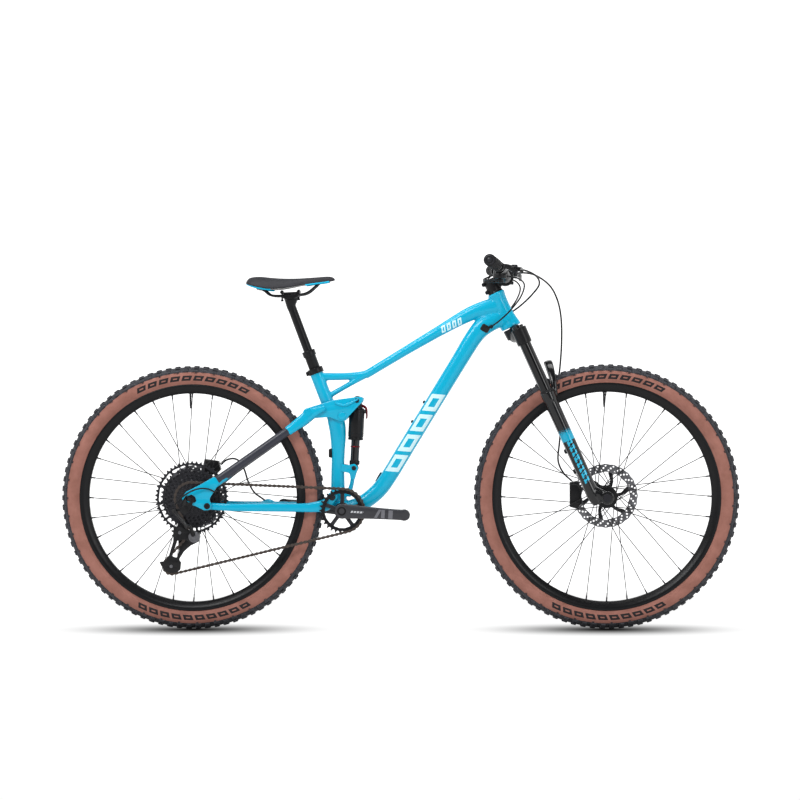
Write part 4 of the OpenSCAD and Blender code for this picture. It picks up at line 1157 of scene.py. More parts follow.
# Fork and front end ----------------------------------------------------------------
def fork_paint():
    """Gloss black legs with a cyan band fading in, and plain cyan slanted blocks below it."""
    look = Look("fork_leg_paint", srgb(10, 10, 12), 0.22, 0, 0.5, 0.05, spec=0.25)
    s, t = axis_coords(look, steer(0), at(-STEER_UP), at(STEER_FWD))
    grad = look.node("ShaderNodeMapRange")
    for k, v in (("From Min", 404.0), ("From Max", 456.0), ("To Min", 0.0), ("To Max", 1.0)):
        grad.inputs[k].default_value = v
    look.link(s, grad.inputs["Value"])
    fade = look.math("MULTIPLY", grad.outputs[0], between(look, s, 404.0, 457.0))
    speck = look.math("GREATER_THAN", fade, look.noise(900, 2, 0.5))
    base = look.mix(look.math("MULTIPLY", speck, 0.85), srgb(10, 10, 12), CYAN)
    slant = look.math("ADD", s, look.math("MULTIPLY", t, 0.5))
    spans = ((464, 477), (481, 494), (498, 508), (512, 526), (530, 542), (546, 556), (560, 574), (578, 590))
    blocks = any_of(look, [between(look, slant, lo, hi) for lo, hi in spans])
    gaps = between(look, look.math("MODULO", slant, 8.0), 2.0, 5.5)
    inner = look.math("SUBTRACT", 1.0, look.math("MULTIPLY", between(look, t, 13.5, 19.5), gaps))
    blocks = look.math("MULTIPLY", look.math("MULTIPLY", blocks, inner), between(look, t, 8.5, 24.5))
    look.color(look.mix(blocks, base, CYAN))
    look.bump(look.noise(700, 2), 0.02, 0.0001)
    return look.mat


def fork():
    """Crown, lowers with their arch, wipers and axle caps."""
    paint = fork_paint()
    clamp = rod(steer(117, 16, LEG_Y), steer(164, 16, LEG_Y), 21.6, 20.6, 36)
    arm = sweep([steer(126, 0, 0), steer(126, 6, 30), steer(134, 14, 54), steer(137, 16, LEG_Y)],
                [(25, 15), (24, 15), (19, 15), (17, 16)], 24, 2.6, up=(1, 0, 0))
    core = rod(steer(108.6), steer(137), 26, 24, 40)
    fused("fork_crown_piece", [mirror_y(clamp), mirror_y(arm), core], 1.8, 7, BLACK, "steering",
          replaces=("fork_crown",), keep=0.5)
    caps = []
    for s in (-1, 1):
        a, b = steer(116.8, 16, s * LEG_Y), steer(110, 16, s * LEG_Y)
        caps.append(turned([(-1, 15), (1.5, 15), (1.5, 12.5), (5.5, 12.5), (6.3, 11.5)], a, b, 36))
    piece("fork_caps", join(*caps), BLACK, "steering", slot="black_anodised", bevel=0.3)
    lower = sweep([steer(s, 16, LEG_Y) for s in (309, 313, 334, 340, 360, 480, 590, 628, 651)],
                  [(19.6, 19.6), (20.3, 20.3), (20.3, 20.3), (19.2, 19.2),
                    (18.8, 18.8), (18.2, 18.2), (17.6, 17.6), (18, 17), (12, 13)],
                  36, per=3)
    arch = sweep([steer(350, 20, 66), steer(318, 36, 62.5), steer(284, 46, 54), steer(250, 52, 34),
        (steer(240, 53, 0)),
                  steer(250, 52, -34), steer(284, 46, -54), steer(318, 36, -62.5), steer(350, 20, -66)],
                 [(12, 9), (8.5, 8), (9, 9), (9, 11.5), (10, 12.5), (9, 11.5), (9, 9), (8.5, 8), (12, 9)],
                     24, 3.2, up=(1, 0, 0))
    rib = sweep([steer(352, 12, 64), steer(322, 26, 58), steer(296, 38, 48), steer(276, 47, 30),
        steer(270, 50, 0),
                 steer(276, 47, -30), steer(296, 38, -48), steer(322, 26, -58), steer(352, 12, -64)], 4.2,
                     14, up=(1, 0, 0))
    foot = rod(at(FRONT_HUB, 51), at(FRONT_HUB, 84), 19.5, 18.5, 40)
    neck = sweep([steer(612, 16, LEG_Y), at(FRONT_HUB, 68)], [(17, 16), (17, 15)], 24, 2.4, per=3)
    tabs = [sweep([steer(s0, 12, 58), steer(s0, 2, 47), steer(s0, -8, 45)],
                  [(9, 7), (8, 5), (7, 4)], 16, per=4) for s0 in (486, 548)]
    fused("fork_lower_piece", [mirror_y(lower), arch, rib, mirror_y(foot), mirror_y(neck)] + tabs, 1.9, 7,
        paint,
          "fork_lower", replaces=("fork_lowers",), keep=0.5)
    seals = []
    for s in (-1, 1):
        a, b = steer(312, 16, s * LEG_Y), steer(300, 16, s * LEG_Y)
        seals.append(turned([(0, 19.4), (3.4, 19.4), (4.2, 18.8), (6.4, 17.6), (7.2, 16.4)], a, b, 40))
    piece("fork_wipers", join(*seals), RUBBER, "fork_lower", slot="grip_rubber", angle=40)
    ends = []
    for s in (-1, 1):
        c = at(FRONT_HUB, s * 84)
        ends.append(outwards([(-1, 12), (1.4, 12), (2.0, 11.4), (2.0, 7), (0.6, 6.4)], c, s))
    piece("front_axle_caps", join(*ends), DARK_STEEL, "fork_lower", slot="bolt_steel", bevel=0.2)


def cockpit():
    """Stem, bar, grips and brake levers."""
    bar = [(300, 0, 981), (299.5, 52, 982), (295, 88, 992), (291, 118, 1001), (259, 370, 1016)]
    clamp_at = np.array([300.0, 981.0])
    core = [
        rod(steer(-3.5), steer(-42), 20.2, 19.8, 40),
        rod(at(clamp_at, -26.5), at(clamp_at, 26.5), 23.0, n=40),
        sweep([steer(-23), steer(-24, 22), at(clamp_at + [-3, 1])],
              [(16, 17), (14, 15), (17, 22)], 28, 2.8, per=4),
        sweep([steer(-10, -20, 0), steer(-10, -27, 0)], [(6, 13), (5.4, 11)], 16, 3, per=2),
        sweep([steer(-34, -20, 0), steer(-34, -27, 0)], [(6, 13), (5.4, 11)], 16, 3, per=2),
    ]
    fused("stem_piece", core, 1.5, 7, BLACK, "steering", replaces=("stem",), keep=0.5)
    bolts = []
    for s in (-10, -34):
        a = steer(s, -23.5, -10.5)
        bolts.append(turned([(-2, 3.6), (0, 4.1), (3.4, 4.1), (3.9, 3.6),
                     (3.9, 2.2), (2.6, 2.0)], a, a + [0, -1, 0], 18))
    for y in (-18, 18):
        for k in (-1, 1):
            a = at(clamp_at + [17, k * 14.5], y)
            bolts.append(turned([(-3, 3.6), (4.4, 3.9), (5.4, 3.9), (5.9, 3.4),
                         (5.9, 2), (4.6, 1.8)], a, a + [1, 0, 0], 18))
    top = steer(-44.5)
    bolts.append(turned([(-1, 4), (2.2, 4), (2.6, 3.5), (2.6, 2), (1.4, 1.9)], top, top + at(STEER_UP), 18))
    piece("stem_bolts", join(*bolts), BOLT, "steering", slot="bolt_steel")
    full = [(x, -y, z) for x, y, z in bar[::-1]] + bar[1:]
    radii = [11.1, 11.1, 13.2, 15.6, 15.9, 15.6, 13.2, 11.1, 11.1]
    piece("bar_piece", sweep(full, radii, 32, per=8, up=(0, 0, 1)), BLACK, "steering",
          replaces=("handlebar",), angle=60)
    p0, p1 = np.array(bar[3], float), np.array(bar[4], float)
    way = (p1 - p0) / np.linalg.norm(p1 - p0)
    length = np.linalg.norm(p1 - p0)
    start, stop = length - 128, length + 2.5
    steps = [(start + 6, 13.6)]
    s = start + 8
    while s < stop - 8:
        steps += [(s, 15.2), (s + 0.6, 16.3), (s + 2.6, 16.3), (s + 3.2, 15.2)]
        s += 4.6
    steps += [(stop - 4, 15.8), (stop, 16.2), (stop + 2.0, 15.0), (stop + 2.6, 11.0)]
    grip = turned(steps, p0, p0 + way, 40)
    lock = turned([(start - 3, 13.0), (start - 2.4, 16.2),
                  (start + 5, 16.2), (start + 5.8, 15.0)], p0, p0 + way, 40)
    screw_at = p0 + way * (start + 1.4) + np.array([0, 0, -15.5])
    screw = turned([(-2, 3.4), (1.2, 3.2), (1.5, 2.6)], screw_at, screw_at + [0, 0, -1], 14)
    piece("grip_pair", mirror_y(grip), RUBBER, "steering", replaces=("grips",), angle=36)
    piece("grip_locks", mirror_y(join(lock, screw)), BLACK, "steering", slot="black_anodised", bevel=0.3)
    plug = turned([(stop + 1.6, 13.4), (stop + 3.0, 13.2), (stop + 3.2, 10.2), (stop + 2.2, 9.8),
        (stop + 2.2, 6.6),
                   (stop + 3.4, 6.2), (stop + 3.6, 1.0)], p0, p0 + way, 40)
    piece("grip_end_plugs", mirror_y(plug), CRANK_GREY, "steering", slot="control_plastic", bevel=0.2)
    # brake levers
    pivot_l = joint_at("brake_left_pull")
    lp = np.array([pivot_l[0], JOINTS["brake_left_pull"]["pos_m"][1] / MM, pivot_l[1]])
    ly = lp[1]
    body = sweep([(lp[0] - 4, ly - 4, lp[2] - 2), (lp[0] - 2, ly - 26, lp[2] + 0.5),
        (lp[0] - 1, ly - 54, lp[2]), (lp[0] - 2, ly - 70, lp[2] - 1)],
                 [(9, 9.5), (9, 9), (8.5, 8.5), (6.5, 6.5)], 24, 2.6, up=(0, 0, 1))
    cup = sweep([(lp[0] - 6, ly - 24, lp[2] + 3), (lp[0] - 6, ly - 46, lp[2] + 3.6)],
                [(8, 8.6), (7.4, 8.2)], 20, 3, per=3, up=(0, 0, 1))
    i0 = p0 + way * ((ly - 22 - p0[1]) / way[1])
    band = rod(i0 - way * 7, i0 + way * 7, 15.6, n=36)
    knee = sweep([i0 + [8, 0, 0], i0 + [22, 1, 0.5], (lp[0] - 4, ly - 22, lp[2])],
                 [(7, 8), (6, 7), (7, 8)], 20, 2.6, per=4, up=(0, 0, 1))
    fused("brake_master_pair", [mirror_y(p) for p in (body, cup, band, knee)], 1.5, 6, PLASTIC, "steering",
          replaces=("brake_masters",), keep=0.5)
    pins = turned([(-11.5, 3.4), (11.5, 3.4)], lp, lp + [0, 0, 1], 24)
    lid = block((lp[0] - 13, ly - 45, lp[2] + 11.2), (lp[0] + 1, ly - 25, lp[2] + 13.0))
    piece("lever_pins", mirror_y(pins), BOLT, "steering", slot="bolt_steel", bevel=0.3)
    piece("master_lids", mirror_y(lid), BLACK, "steering", slot="caliper_black", bevel=0.8)
    for side, node in ((1, "brake_blade_left"), (-1, "brake_blade_right")):
        x, y, z = lp
        path = [(x - 2, y - 3, z), (x + 8, y + 12, z - 1), (x + 14, y + 34, z - 4),
                 (x + 13, y + 60, z - 8), (x + 12, y + 82, z - 10), (x + 15, y + 95, z - 11)]
        blade = sweep(path, [(4.6, 5.6), (4.4, 6.2), (3.6, 6.6), (3.2, 6.4),
                      (3.4, 6.4), (3.2, 5.4)], 24, 2.8, up=(0, 0, 1))
        boss = rod(lp + [0, 0, -6.2], lp + [0, 0, 6.2], 6.4, n=28)
        both = join(blade, boss)
        piece("lever_" + ("left" if side > 0 else "right"), both if side > 0 else flip_y(both), BLACK,
              "brake_left" if side > 0 else "brake_right", replaces=(node,), angle=50)


def castings():
    """Small cast and moulded pieces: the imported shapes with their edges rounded."""
    for name, node, body in (
        ("shifter_pod", "shifter_body", "steering"),
        ("main_paddle", "shift_paddle_main", "paddle_main"),
        ("release_paddle", "shift_paddle_release", "paddle_release"),
        ("dropper_pod", "dropper_remote", "steering"),
        ("dropper_paddle", "dropper_lever", "dropper_trigger"),
        ("top_cap", "headset_cap", "steering"),
        ("front_caliper_piece", "front_caliper", "fork_lower"),
        ("rear_caliper_piece", "rear_caliper", "seatstay"),
        ("mech_mount_piece", "mech_mount", "seatstay"),
        ("mech_links", "mech_link", "mech_arm"),
        ("mech_body_piece", "mech_knuckle", "mech_body"),
        ("seat_collar", "seat_clamp", "frame"),
        ("dropper_collar", "dropper_outer", "frame"),
    ):
        src = NODES[node]
        me = src.data.copy()
        bm = bmesh.new()
        bm.from_mesh(me)
        bmesh.ops.remove_doubles(bm, verts=bm.verts, dist=2e-5)
        bmesh.ops.dissolve_limit(bm, angle_limit=math.radians(1.5), verts=bm.verts, edges=bm.edges)
        bm.to_mesh(me)
        bm.free()
        me.materials.clear()
        me.materials.append(NODE_LOOK[SLOT_OF[node]])
        ob = bpy.data.objects.new(name, me)
        bpy.context.scene.collection.objects.link(ob)
        m = ob.modifiers.new("bevel", "BEVEL")
        m.width = 0.7 * MM
        m.segments = 2
        m.limit_method = "ANGLE"
        m.angle_limit = math.radians(38)
        m.use_clamp_overlap = True
        apply_modifiers(ob)
        sharpen(ob, 34)
        settle(ob, body, replaces=(node,))


# Drivetrain -------------------------------------------------------------------------
PITCH = 12.7
CHAIN_Y = -50.0


def pitch_radius(teeth):
    """The pitch circle of a chain wheel."""
    return PITCH / 2 / math.sin(math.pi / teeth)


def sprocket_outline(teeth, hub, phase=0.0, tip=3.6, root=3.6):
    """Tooth outline: a tip, two flanks and a hollow for each roller."""
    r = pitch_radius(teeth)
    out = []
    for k in range(teeth):
        a = phase + k * 2 * math.pi / teeth
        w = math.pi / teeth
        for da, rr in ((-0.62, r - root + 0.7), (-0.34, r + 0.2), (-0.16, r + tip),
                       (0.16, r + tip), (0.34, r + 0.2), (0.62, r - root + 0.7), (1.0, r - root)):
            out.append((hub[0] + rr * math.cos(a + da * w), hub[1] + rr * math.sin(a + da * w)))
    return np.array(out)


def ring_holes(hub, r_in, r_out, arms, arm_width, turn=0.0):
    """Windows between spider arms from r_in to r_out."""
    out = []
    for k in range(arms):
        a0, a1 = turn + k * 2 * math.pi / arms, turn + (k + 1) * 2 * math.pi / arms
        ia, oa = arm_width / 2 / r_in, arm_width / 2 / r_out
        pts = [(r_in, a0 + ia), (r_in, (a0 + a1) / 2), (r_in, a1 - ia), (r_out, a1 - oa),
                (r_out, (a0 + a1) / 2 + 0.15), (r_out, (a0 + a1) / 2 - 0.15), (r_out, a0 + oa)]
        lp = [(hub[0] + r * math.cos(a), hub[1] + r * math.sin(a)) for r, a in pts]
        out.append(rounded(lp, min(3, (r_out - r_in) / 4), 4)[::-1])
    return out


def cassette():
    teeth = (11, 13, 15, 17, 19, 22, 25, 28, 32, 36, 42, 50)
    obs = []
    for i, t in enumerate(teeth):
        y = CHAIN_Y + 3.65 * (i - 5)
        loops = [sprocket_outline(t, REAR_HUB, 0.13 * i, 2.6, 3.4), circle(REAR_HUB, 17.2, 40)[::-1]]
        r = pitch_radius(t)
        if t > 28:
            r_in = max(pitch_radius(teeth[i - 1]) - 9, 27)
            loops += ring_holes(REAR_HUB, r_in, r - 8.5, 6 if t < 50 else 12, 6.5, 0.3 * i)
        obs.append((loops, y))
    for k, (loops, y) in enumerate(obs):
        plates("cog_%02d" % (k + 1), loops, [(y - 0.85, y + 0.85)], CASSETTE, "freehub", bevel=0.2,
               replaces=("cassette",) if k == 0 else (), slot="cassette_steel")
    y0, y1 = CHAIN_Y - 3.65 * 5 - 0.9, CHAIN_Y + 3.65 * 6 + 0.9
    core = lathe([(17.3, y0), (19.8, y0), (19.8, y1), (17.3, y1)][::-1], REAR_HUB, 48)
    nut_y = y0 - 2.6
    nut = lathe([(9.5, nut_y), (15.5, nut_y), (19.5, nut_y + 1), (19.5, y0), (9.5, y0)][::-1], REAR_HUB, 48)
    piece("cassette_core", join(core, nut), CASSETTE, "freehub", slot="cassette_steel")


def ring():
    """The chainring."""
    loops = [sprocket_outline(30, CRANK, 0.0, 3.6, 3.6), circle(CRANK, 17, 40)[::-1]]
    loops += ring_holes(CRANK, 23, 49, 5, 11, 0.3)
    plates("ring_piece", loops, [(CHAIN_Y - 1.15, CHAIN_Y + 1.15)],
           DARK_STEEL, "crankset", replaces=("chainring",), bevel=0.4)


def cranks():
    """Both arms with open pedal eyes, caps, spindle and spider."""
    drop = math.radians(-3.8)
    end = CRANK + 174 * np.array([math.cos(drop), math.sin(drop)])
    arm = sweep(
        [at(CRANK, -69), at(CRANK * 0.9 + end * 0.1, -69), at(CRANK * 0.5 + \
            end * 0.5, -70), at(CRANK * 0.12 + end * 0.88, -71), at(end, -71)],
        [(20.5, 6.4), (20, 6.6), (16.5, 6.4), (15, 5.8), (15.8, 5.4)], 28, 3.6,
    )
    boss = rod(at(CRANK, -62), at(CRANK, -76), 20, 19, 48)
    eye = rod(at(end, -64.4), at(end, -76), 16.4, 15.8, 40)
    base = [arm, boss, eye]
    other = CRANK * 2 - end
    left = [
        (np.stack([2 * CRANK[0] - p[:, 0], -p[:, 1], 2 * CRANK[1] - p[:, 2]], 1), f)
        for p, f in base
    ]
    ob = melted("arms_solid", base + left, 1.3, 5, CRANK_GREY)
    look = Look("crank_paint_blocks", srgb(46, 46, 52), 0.42, 0.1, 0.25)
    way = (end - CRANK) / np.linalg.norm(end - CRANK)
    s, t = axis_coords(look, at(CRANK), at(way), at(np.array([-way[1], way[0]])))
    lean = look.math("ADD", s, look.math("MULTIPLY", t, -0.45))
    small = look.math("MULTIPLY", between(look, lean, 26.0, 60.0), between(look, t, -2.6, 2.6))
    small = look.math("MULTIPLY", small, look.math("LESS_THAN", look.math("MODULO", lean, 8.5), 6.0))
    marks = any_of(look, [
        between(look, look.math("ADD", s, look.math("MULTIPLY", t, slope)), lo, hi)
        for lo, hi, slope in ((97, 105, -0.5), (110, 120, 0.0), (130, 142, 0.0))])
    marks = look.math("MULTIPLY", marks, between(look, t, -12.5, 10.5))
    base_color = look.mix(look.noise(60, 3), srgb(34, 34, 40), srgb(44, 44, 50))
    base_color = look.mix(marks, base_color, srgb(104, 104, 110))
    look.color(look.mix(small, base_color, srgb(190, 192, 196)))
    look.vary_rough(0.34, 0.5, 80)
    look.bump(look.noise(1500, 3), 0.05, 0.0001)
    cut = new_object("thread_cut", join(*[turned([(-34, 8.2), (34, 8.2)], at(c, y),
                     at(c, y) + [0, 1, 0], 32) for c, y in ((end, -70), (other, 70))]), [CRANK_GREY])
    m = ob.modifiers.new("threads", "BOOLEAN")
    m.object = cut
    m.solver = "EXACT"
    apply_modifiers(ob)
    bpy.data.objects.remove(cut)
    ob.data.materials.clear()
    ob.data.materials.append(look.mat)
    sharpen(ob, 45)
    settle(ob, "crankset", replaces=("crank_arm_right", "crank_arm_left"))
    caps = []
    for side in (-1, 1):
        c = at(CRANK, side * 76)
        caps.append(outwards([(-2, 12.6), (0.6, 12.6), (1.2, 12.0),
                    (1.2, 8.4), (-0.6, 7.8), (-0.6, 5)], c, side, 40))
    piece("crank_caps", join(*caps), BLACK, "crankset", slot="crank_grey", bevel=0.2)
    spindle = rod(at(CRANK, -62), at(CRANK, 62), 14.4, n=40)
    piece("spindle", spindle, DARK_STEEL, "crankset", replaces=("crank_spindle",), bevel=0.4)
    spider = []
    for k in range(5):
        a = 0.3 + k * 2 * math.pi / 5
        tip = CRANK + 47 * np.array([math.cos(a), math.sin(a)])
        spider.append(sweep([at(CRANK, -56), at(CRANK * 0.5 + tip * 0.5, -54),
                      at(tip, -52.6)], [(8, 3), (5.6, 2.2), (5, 1.4)], 16, 3))
    piece("spider", join(*spider), CRANK_GREY, "crankset", slot="ring_black", angle=50)


def chain_loop():
    """The centre line: straight runs and arcs round ring, cog and the two jockeys."""
    wheels_ = [(CRANK, pitch_radius(30), 1), (REAR_HUB, pitch_radius(22), 1),
               (JOCKEY_HI, pitch_radius(11), -1), (JOCKEY_LO, pitch_radius(11), 1)]
    runs = []
    for i in range(4):
        (c1, r1, s1), (c2, r2, s2) = wheels_[i], wheels_[(i + 1) % 4]
        d = c2 - c1
        dist = math.hypot(*d)
        e = math.asin((s1 * r1 - s2 * r2) / dist)
        a = math.atan2(d[1], d[0]) + e
        runs.append((a, c1 + s1 * r1 * np.array([math.sin(a), -math.cos(a)]),
                     c2 + s2 * r2 * np.array([math.sin(a), -math.cos(a)])))
    pts = []
    for i in range(4):
        a, p, q = runs[i]
        n = max(int(np.linalg.norm(q - p) / 2), 2)
        pts += [p + (q - p) * t for t in np.linspace(0, 1, n, endpoint=False)]
        c, r, s = wheels_[(i + 1) % 4]
        b = runs[(i + 1) % 4][0]
        turn = (b - a) % (2 * math.pi) if s > 0 else -((a - b) % (2 * math.pi))
        n = max(int(abs(turn) * r / 2), 2)
        for t in np.linspace(0, turn, n, endpoint=False):
            pts.append(c + s * r * np.array([math.sin(a + t), -math.cos(a + t)]))
    return np.array(pts)


def chain():
    """Inner and outer links with rollers and pins along the loop."""
    loop = chain_loop()
    seg = np.linalg.norm(np.roll(loop, -1, 0) - loop, axis=1)
    total = seg.sum()
    run = np.concatenate([[0], np.cumsum(seg)])
    closed = np.vstack([loop, loop[:1]])
    count = 2 * round(total / PITCH / 2)
    pitch = total / count

    def on(s):
        s %= total
        return np.array([np.interp(s, run, closed[:, 0]), np.interp(s, run, closed[:, 1])])

    parts = []
    for k in range(count):
        a, b = on(k * pitch), on((k + 1) * pitch)
        d = (b - a) / np.linalg.norm(b - a)
        n = np.array([-d[1], d[0]])
        outer = k % 2 == 0
        y_in, y_out = (1.65, 2.55) if outer else (0.95, 1.6)
        half, waist = (4.5, 2.5) if outer else (4.2, 2.7)
        outline = []
        for c, sgn in ((a, -1), (b, 1)):
            for t in np.radians([-100, -60, -20, 20, 60, 100]):
                outline.append(c + half * (sgn * d * math.cos(t) + sgn * n * math.sin(t)))
        mid = (a + b) / 2
        outline.insert(6, mid - n * waist)
        outline.append(mid + n * waist)
        for s in (-1, 1):
            lo, hi = sorted((s * y_in, s * y_out))
            parts.append(prism(outline, CHAIN_Y + lo, CHAIN_Y + hi))
        parts.append(rod(at(a, CHAIN_Y - 0.9), at(a, CHAIN_Y + 0.9), 3.85, n=12))
        parts.append(rod(at(a, CHAIN_Y - 2.7), at(a, CHAIN_Y + 2.7), 1.7, n=8))
    part = join(*parts)
    ob = new_object("chain_links", part, [CHAIN])
    m = ob.modifiers.new("bevel", "BEVEL")
    m.width = 0.25 * MM
    m.segments = 1
    m.angle_limit = math.radians(40)
    apply_modifiers(ob)
    sharpen(ob, 34)
    settle(ob, ("frame", "chainstay", (CRANK[0], 0, CRANK[1]),
           (STAY_PIVOT[0], 0, STAY_PIVOT[1])), replaces=("chain",))


def jockeys():
    """The two jockey wheels with their bushes."""
    for name, hub, body, node in (("top", JOCKEY_HI, "jockey_top", "jockey_upper"),
                                  ("bottom", JOCKEY_LO, "jockey_bottom", "jockey_lower")):
        loops = [sprocket_outline(11, hub, 0.1, 2.6, 3.4), circle(hub, 3.4, 24)[::-1]]
        loops += ring_holes(hub, 8.2, 14.4, 5, 3.2, 0.2)
        plates("jockey_" + name, loops, [(CHAIN_Y - 1.1, CHAIN_Y + 1.1)],
               PLASTIC, body, replaces=(node,), bevel=0.25)
        hubcap = lathe([(3.2, CHAIN_Y - 4.6), (6.6, CHAIN_Y - 4.6),
                       (6.6, CHAIN_Y + 4.6), (3.2, CHAIN_Y + 4.6)][::-1], hub, 32)
        piece("jockey_" + name + "_cap", hubcap, DARK_STEEL, body, slot="mech_black", bevel=0.3)


def derailleur():
    """The jockey cage's two pierced plates, its pins, and the cap of the spring housing."""
    up = (JOCKEY_HI - JOCKEY_LO) / np.linalg.norm(JOCKEY_HI - JOCKEY_LO)
    side = np.array([up[1], -up[0]])
    pivot = CAGE

    def spot(along, across, base=JOCKEY_LO):
        return base + along * up + across * side

    outer = rounded(
        [(-638, 162), (-656, 172), (-668, 194), (-650, 195), (-640, 212), (-628, 250), (-627, 282),
            (-610, 292),
         (-588, 283), (-566, 281), (-550, 266), (-556, 250), (-580, 238), (-598, 222), (-612, 200),
             (-606, 192),
         (-608, 172), (-618, 164)],
        [10, 10, 3, 9, 14, 14, 12, 12, 12, 12, 13, 10, 18, 20, 8, 5, 8, 8], 5)
    window = rounded([(-633, 208), (-620, 204), (-602, 232), (-584, 250), (-598, 256), (-618, 252)], 4, 5)
    holes = [window, circle(JOCKEY_LO, 2.4, 20)[::-1], circle(JOCKEY_HI, 2.4, 20)[::-1]]
    inner = rounded([spot(-13, 5), spot(-13, -8), spot(12, -13), spot(44, -9), spot(84, -14), spot(108, -8),
                     spot(110, 8), spot(84, 14), spot(44, 9), spot(12, 13)],
                         [6, 6, 7, 14, 10, 8, 8, 10, 14, 7], 5)
    plates("mech_cage_piece", [outer] + holes, [(-58.6, -56.8)],
           PLASTIC, "mech_swing", replaces=("mech_cage",), bevel=0.4)
    plates("mech_inner_plate", [inner] + holes, [(-44.4, -42.8)], PLASTIC, "mech_swing",
           slot="mech_black", bevel=0.3)
    pins = []
    for p in (JOCKEY_HI, JOCKEY_LO):
        pins.append(turned([(0, 4.6), (0.8, 4.6), (1.2, 2.5), (16.4, 2.5), (16.6, 3.6), (17.8, 3.6)],
                           at(p, -59.6), at(p, -58.6), 24))
    pins.append(turned([(0, 4.8), (17, 4.8)], at(pivot, -74), at(pivot, -73), 28))
    piece("mech_cage_pins", join(*pins), STEEL, "mech_swing", slot="mech_black", bevel=0.2)
    face = at(pivot, -84.0)
    rim_cap = turned([(0, 15.4), (1.6, 15.6), (2.4, 14.8), (2.4, 11.6), (1.4, 11.2), (1.4, 5.2),
        (2.6, 4.8), (2.6, 1.2)],
                     face, face + [0, -1, 0], 44)
    piece("mech_spring_cap", rim_cap, STEEL, "mech_body", slot="mech_black", bevel=0.2)


def seat_post():
    """Inner post, its head with a cradle under the rails, and two clamp bolts."""
    tube = turned([(-20, 12.5), (190, 12.5)], seat(0), seat(1), 40)
    neck = sweep([seat(184), seat(196), (-300, 0, 927), (-300, 0, 932)],
                 [(12.6, 12.6), (13.5, 13.5), (20, 17), (21, 17)], 28, 2.6, per=4)
    low = rounded([(-327, 931), (-326, 937), (-277, 940), (-274, 934), (-290, 926), (-312, 923)], 3, 4)
    cradle = prism(low, -27, 27)
    head = [tube, neck, cradle]
    fused("post_piece", head, 1.5, 4, BLACK, "saddle_post", replaces=("dropper_inner",), keep=0.5)
    tops = [prism(rounded([(-324, 938.5), (-322, 943.5), (-280, 945.5), (-278, 940.5)],
                  1.6, 3), s * 22 - 6, s * 22 + 6) for s in (-1, 1)]
    bar = [rod((-325, -22, 944), (-325, 22, 944), 4.4, n=20),
               rod((-278, -22, 946), (-278, 22, 946), 4.4, n=20)]
    piece("rail_clamps", join(*tops, *bar), BLACK, "saddle_post", slot="black_anodised", bevel=0.6)
    bolts = []
    for x, z0, z1 in ((-325, 919, 950), (-278, 922, 952)):
        bolts.append(turned([(0, 3.8), (4.6, 3.8), (4.6, 2.4), (z1 - z0 - 3, 2.4),
                     (z1 - z0 - 3, 4.2), (z1 - z0, 3.8)], (x, 0, z0), (x, 0, z0 + 1), 18))
    piece("clamp_bolts", join(*bolts), BOLT, "saddle_post", slot="bolt_steel")


# Saddle -----------------------------------------------------------------------------
def two_skins(top, low):
    """Two grids of points, one above the other, closed round their edge."""
    m, n = top.shape[:2]
    off = m * n
    quads = [[i * n + k, (i + 1) * n + k, (i + 1) * n + k + 1, i * n + k + 1]
             for i in range(m - 1) for k in range(n - 1)]
    faces = quads + [[v + off for v in f[::-1]] for f in quads]
    ring = [i * n for i in range(m)] + [(m - 1) * n + k for k in range(1, n)]
    ring += [i * n + n - 1 for i in range(m - 2, -1, -1)] + list(range(n - 2, 0, -1))
    faces += [[a, off + a, off + b, b] for a, b in zip(ring, ring[1:] + ring[:1])]
    return np.vstack([top.reshape(-1, 3), low.reshape(-1, 3)]), faces


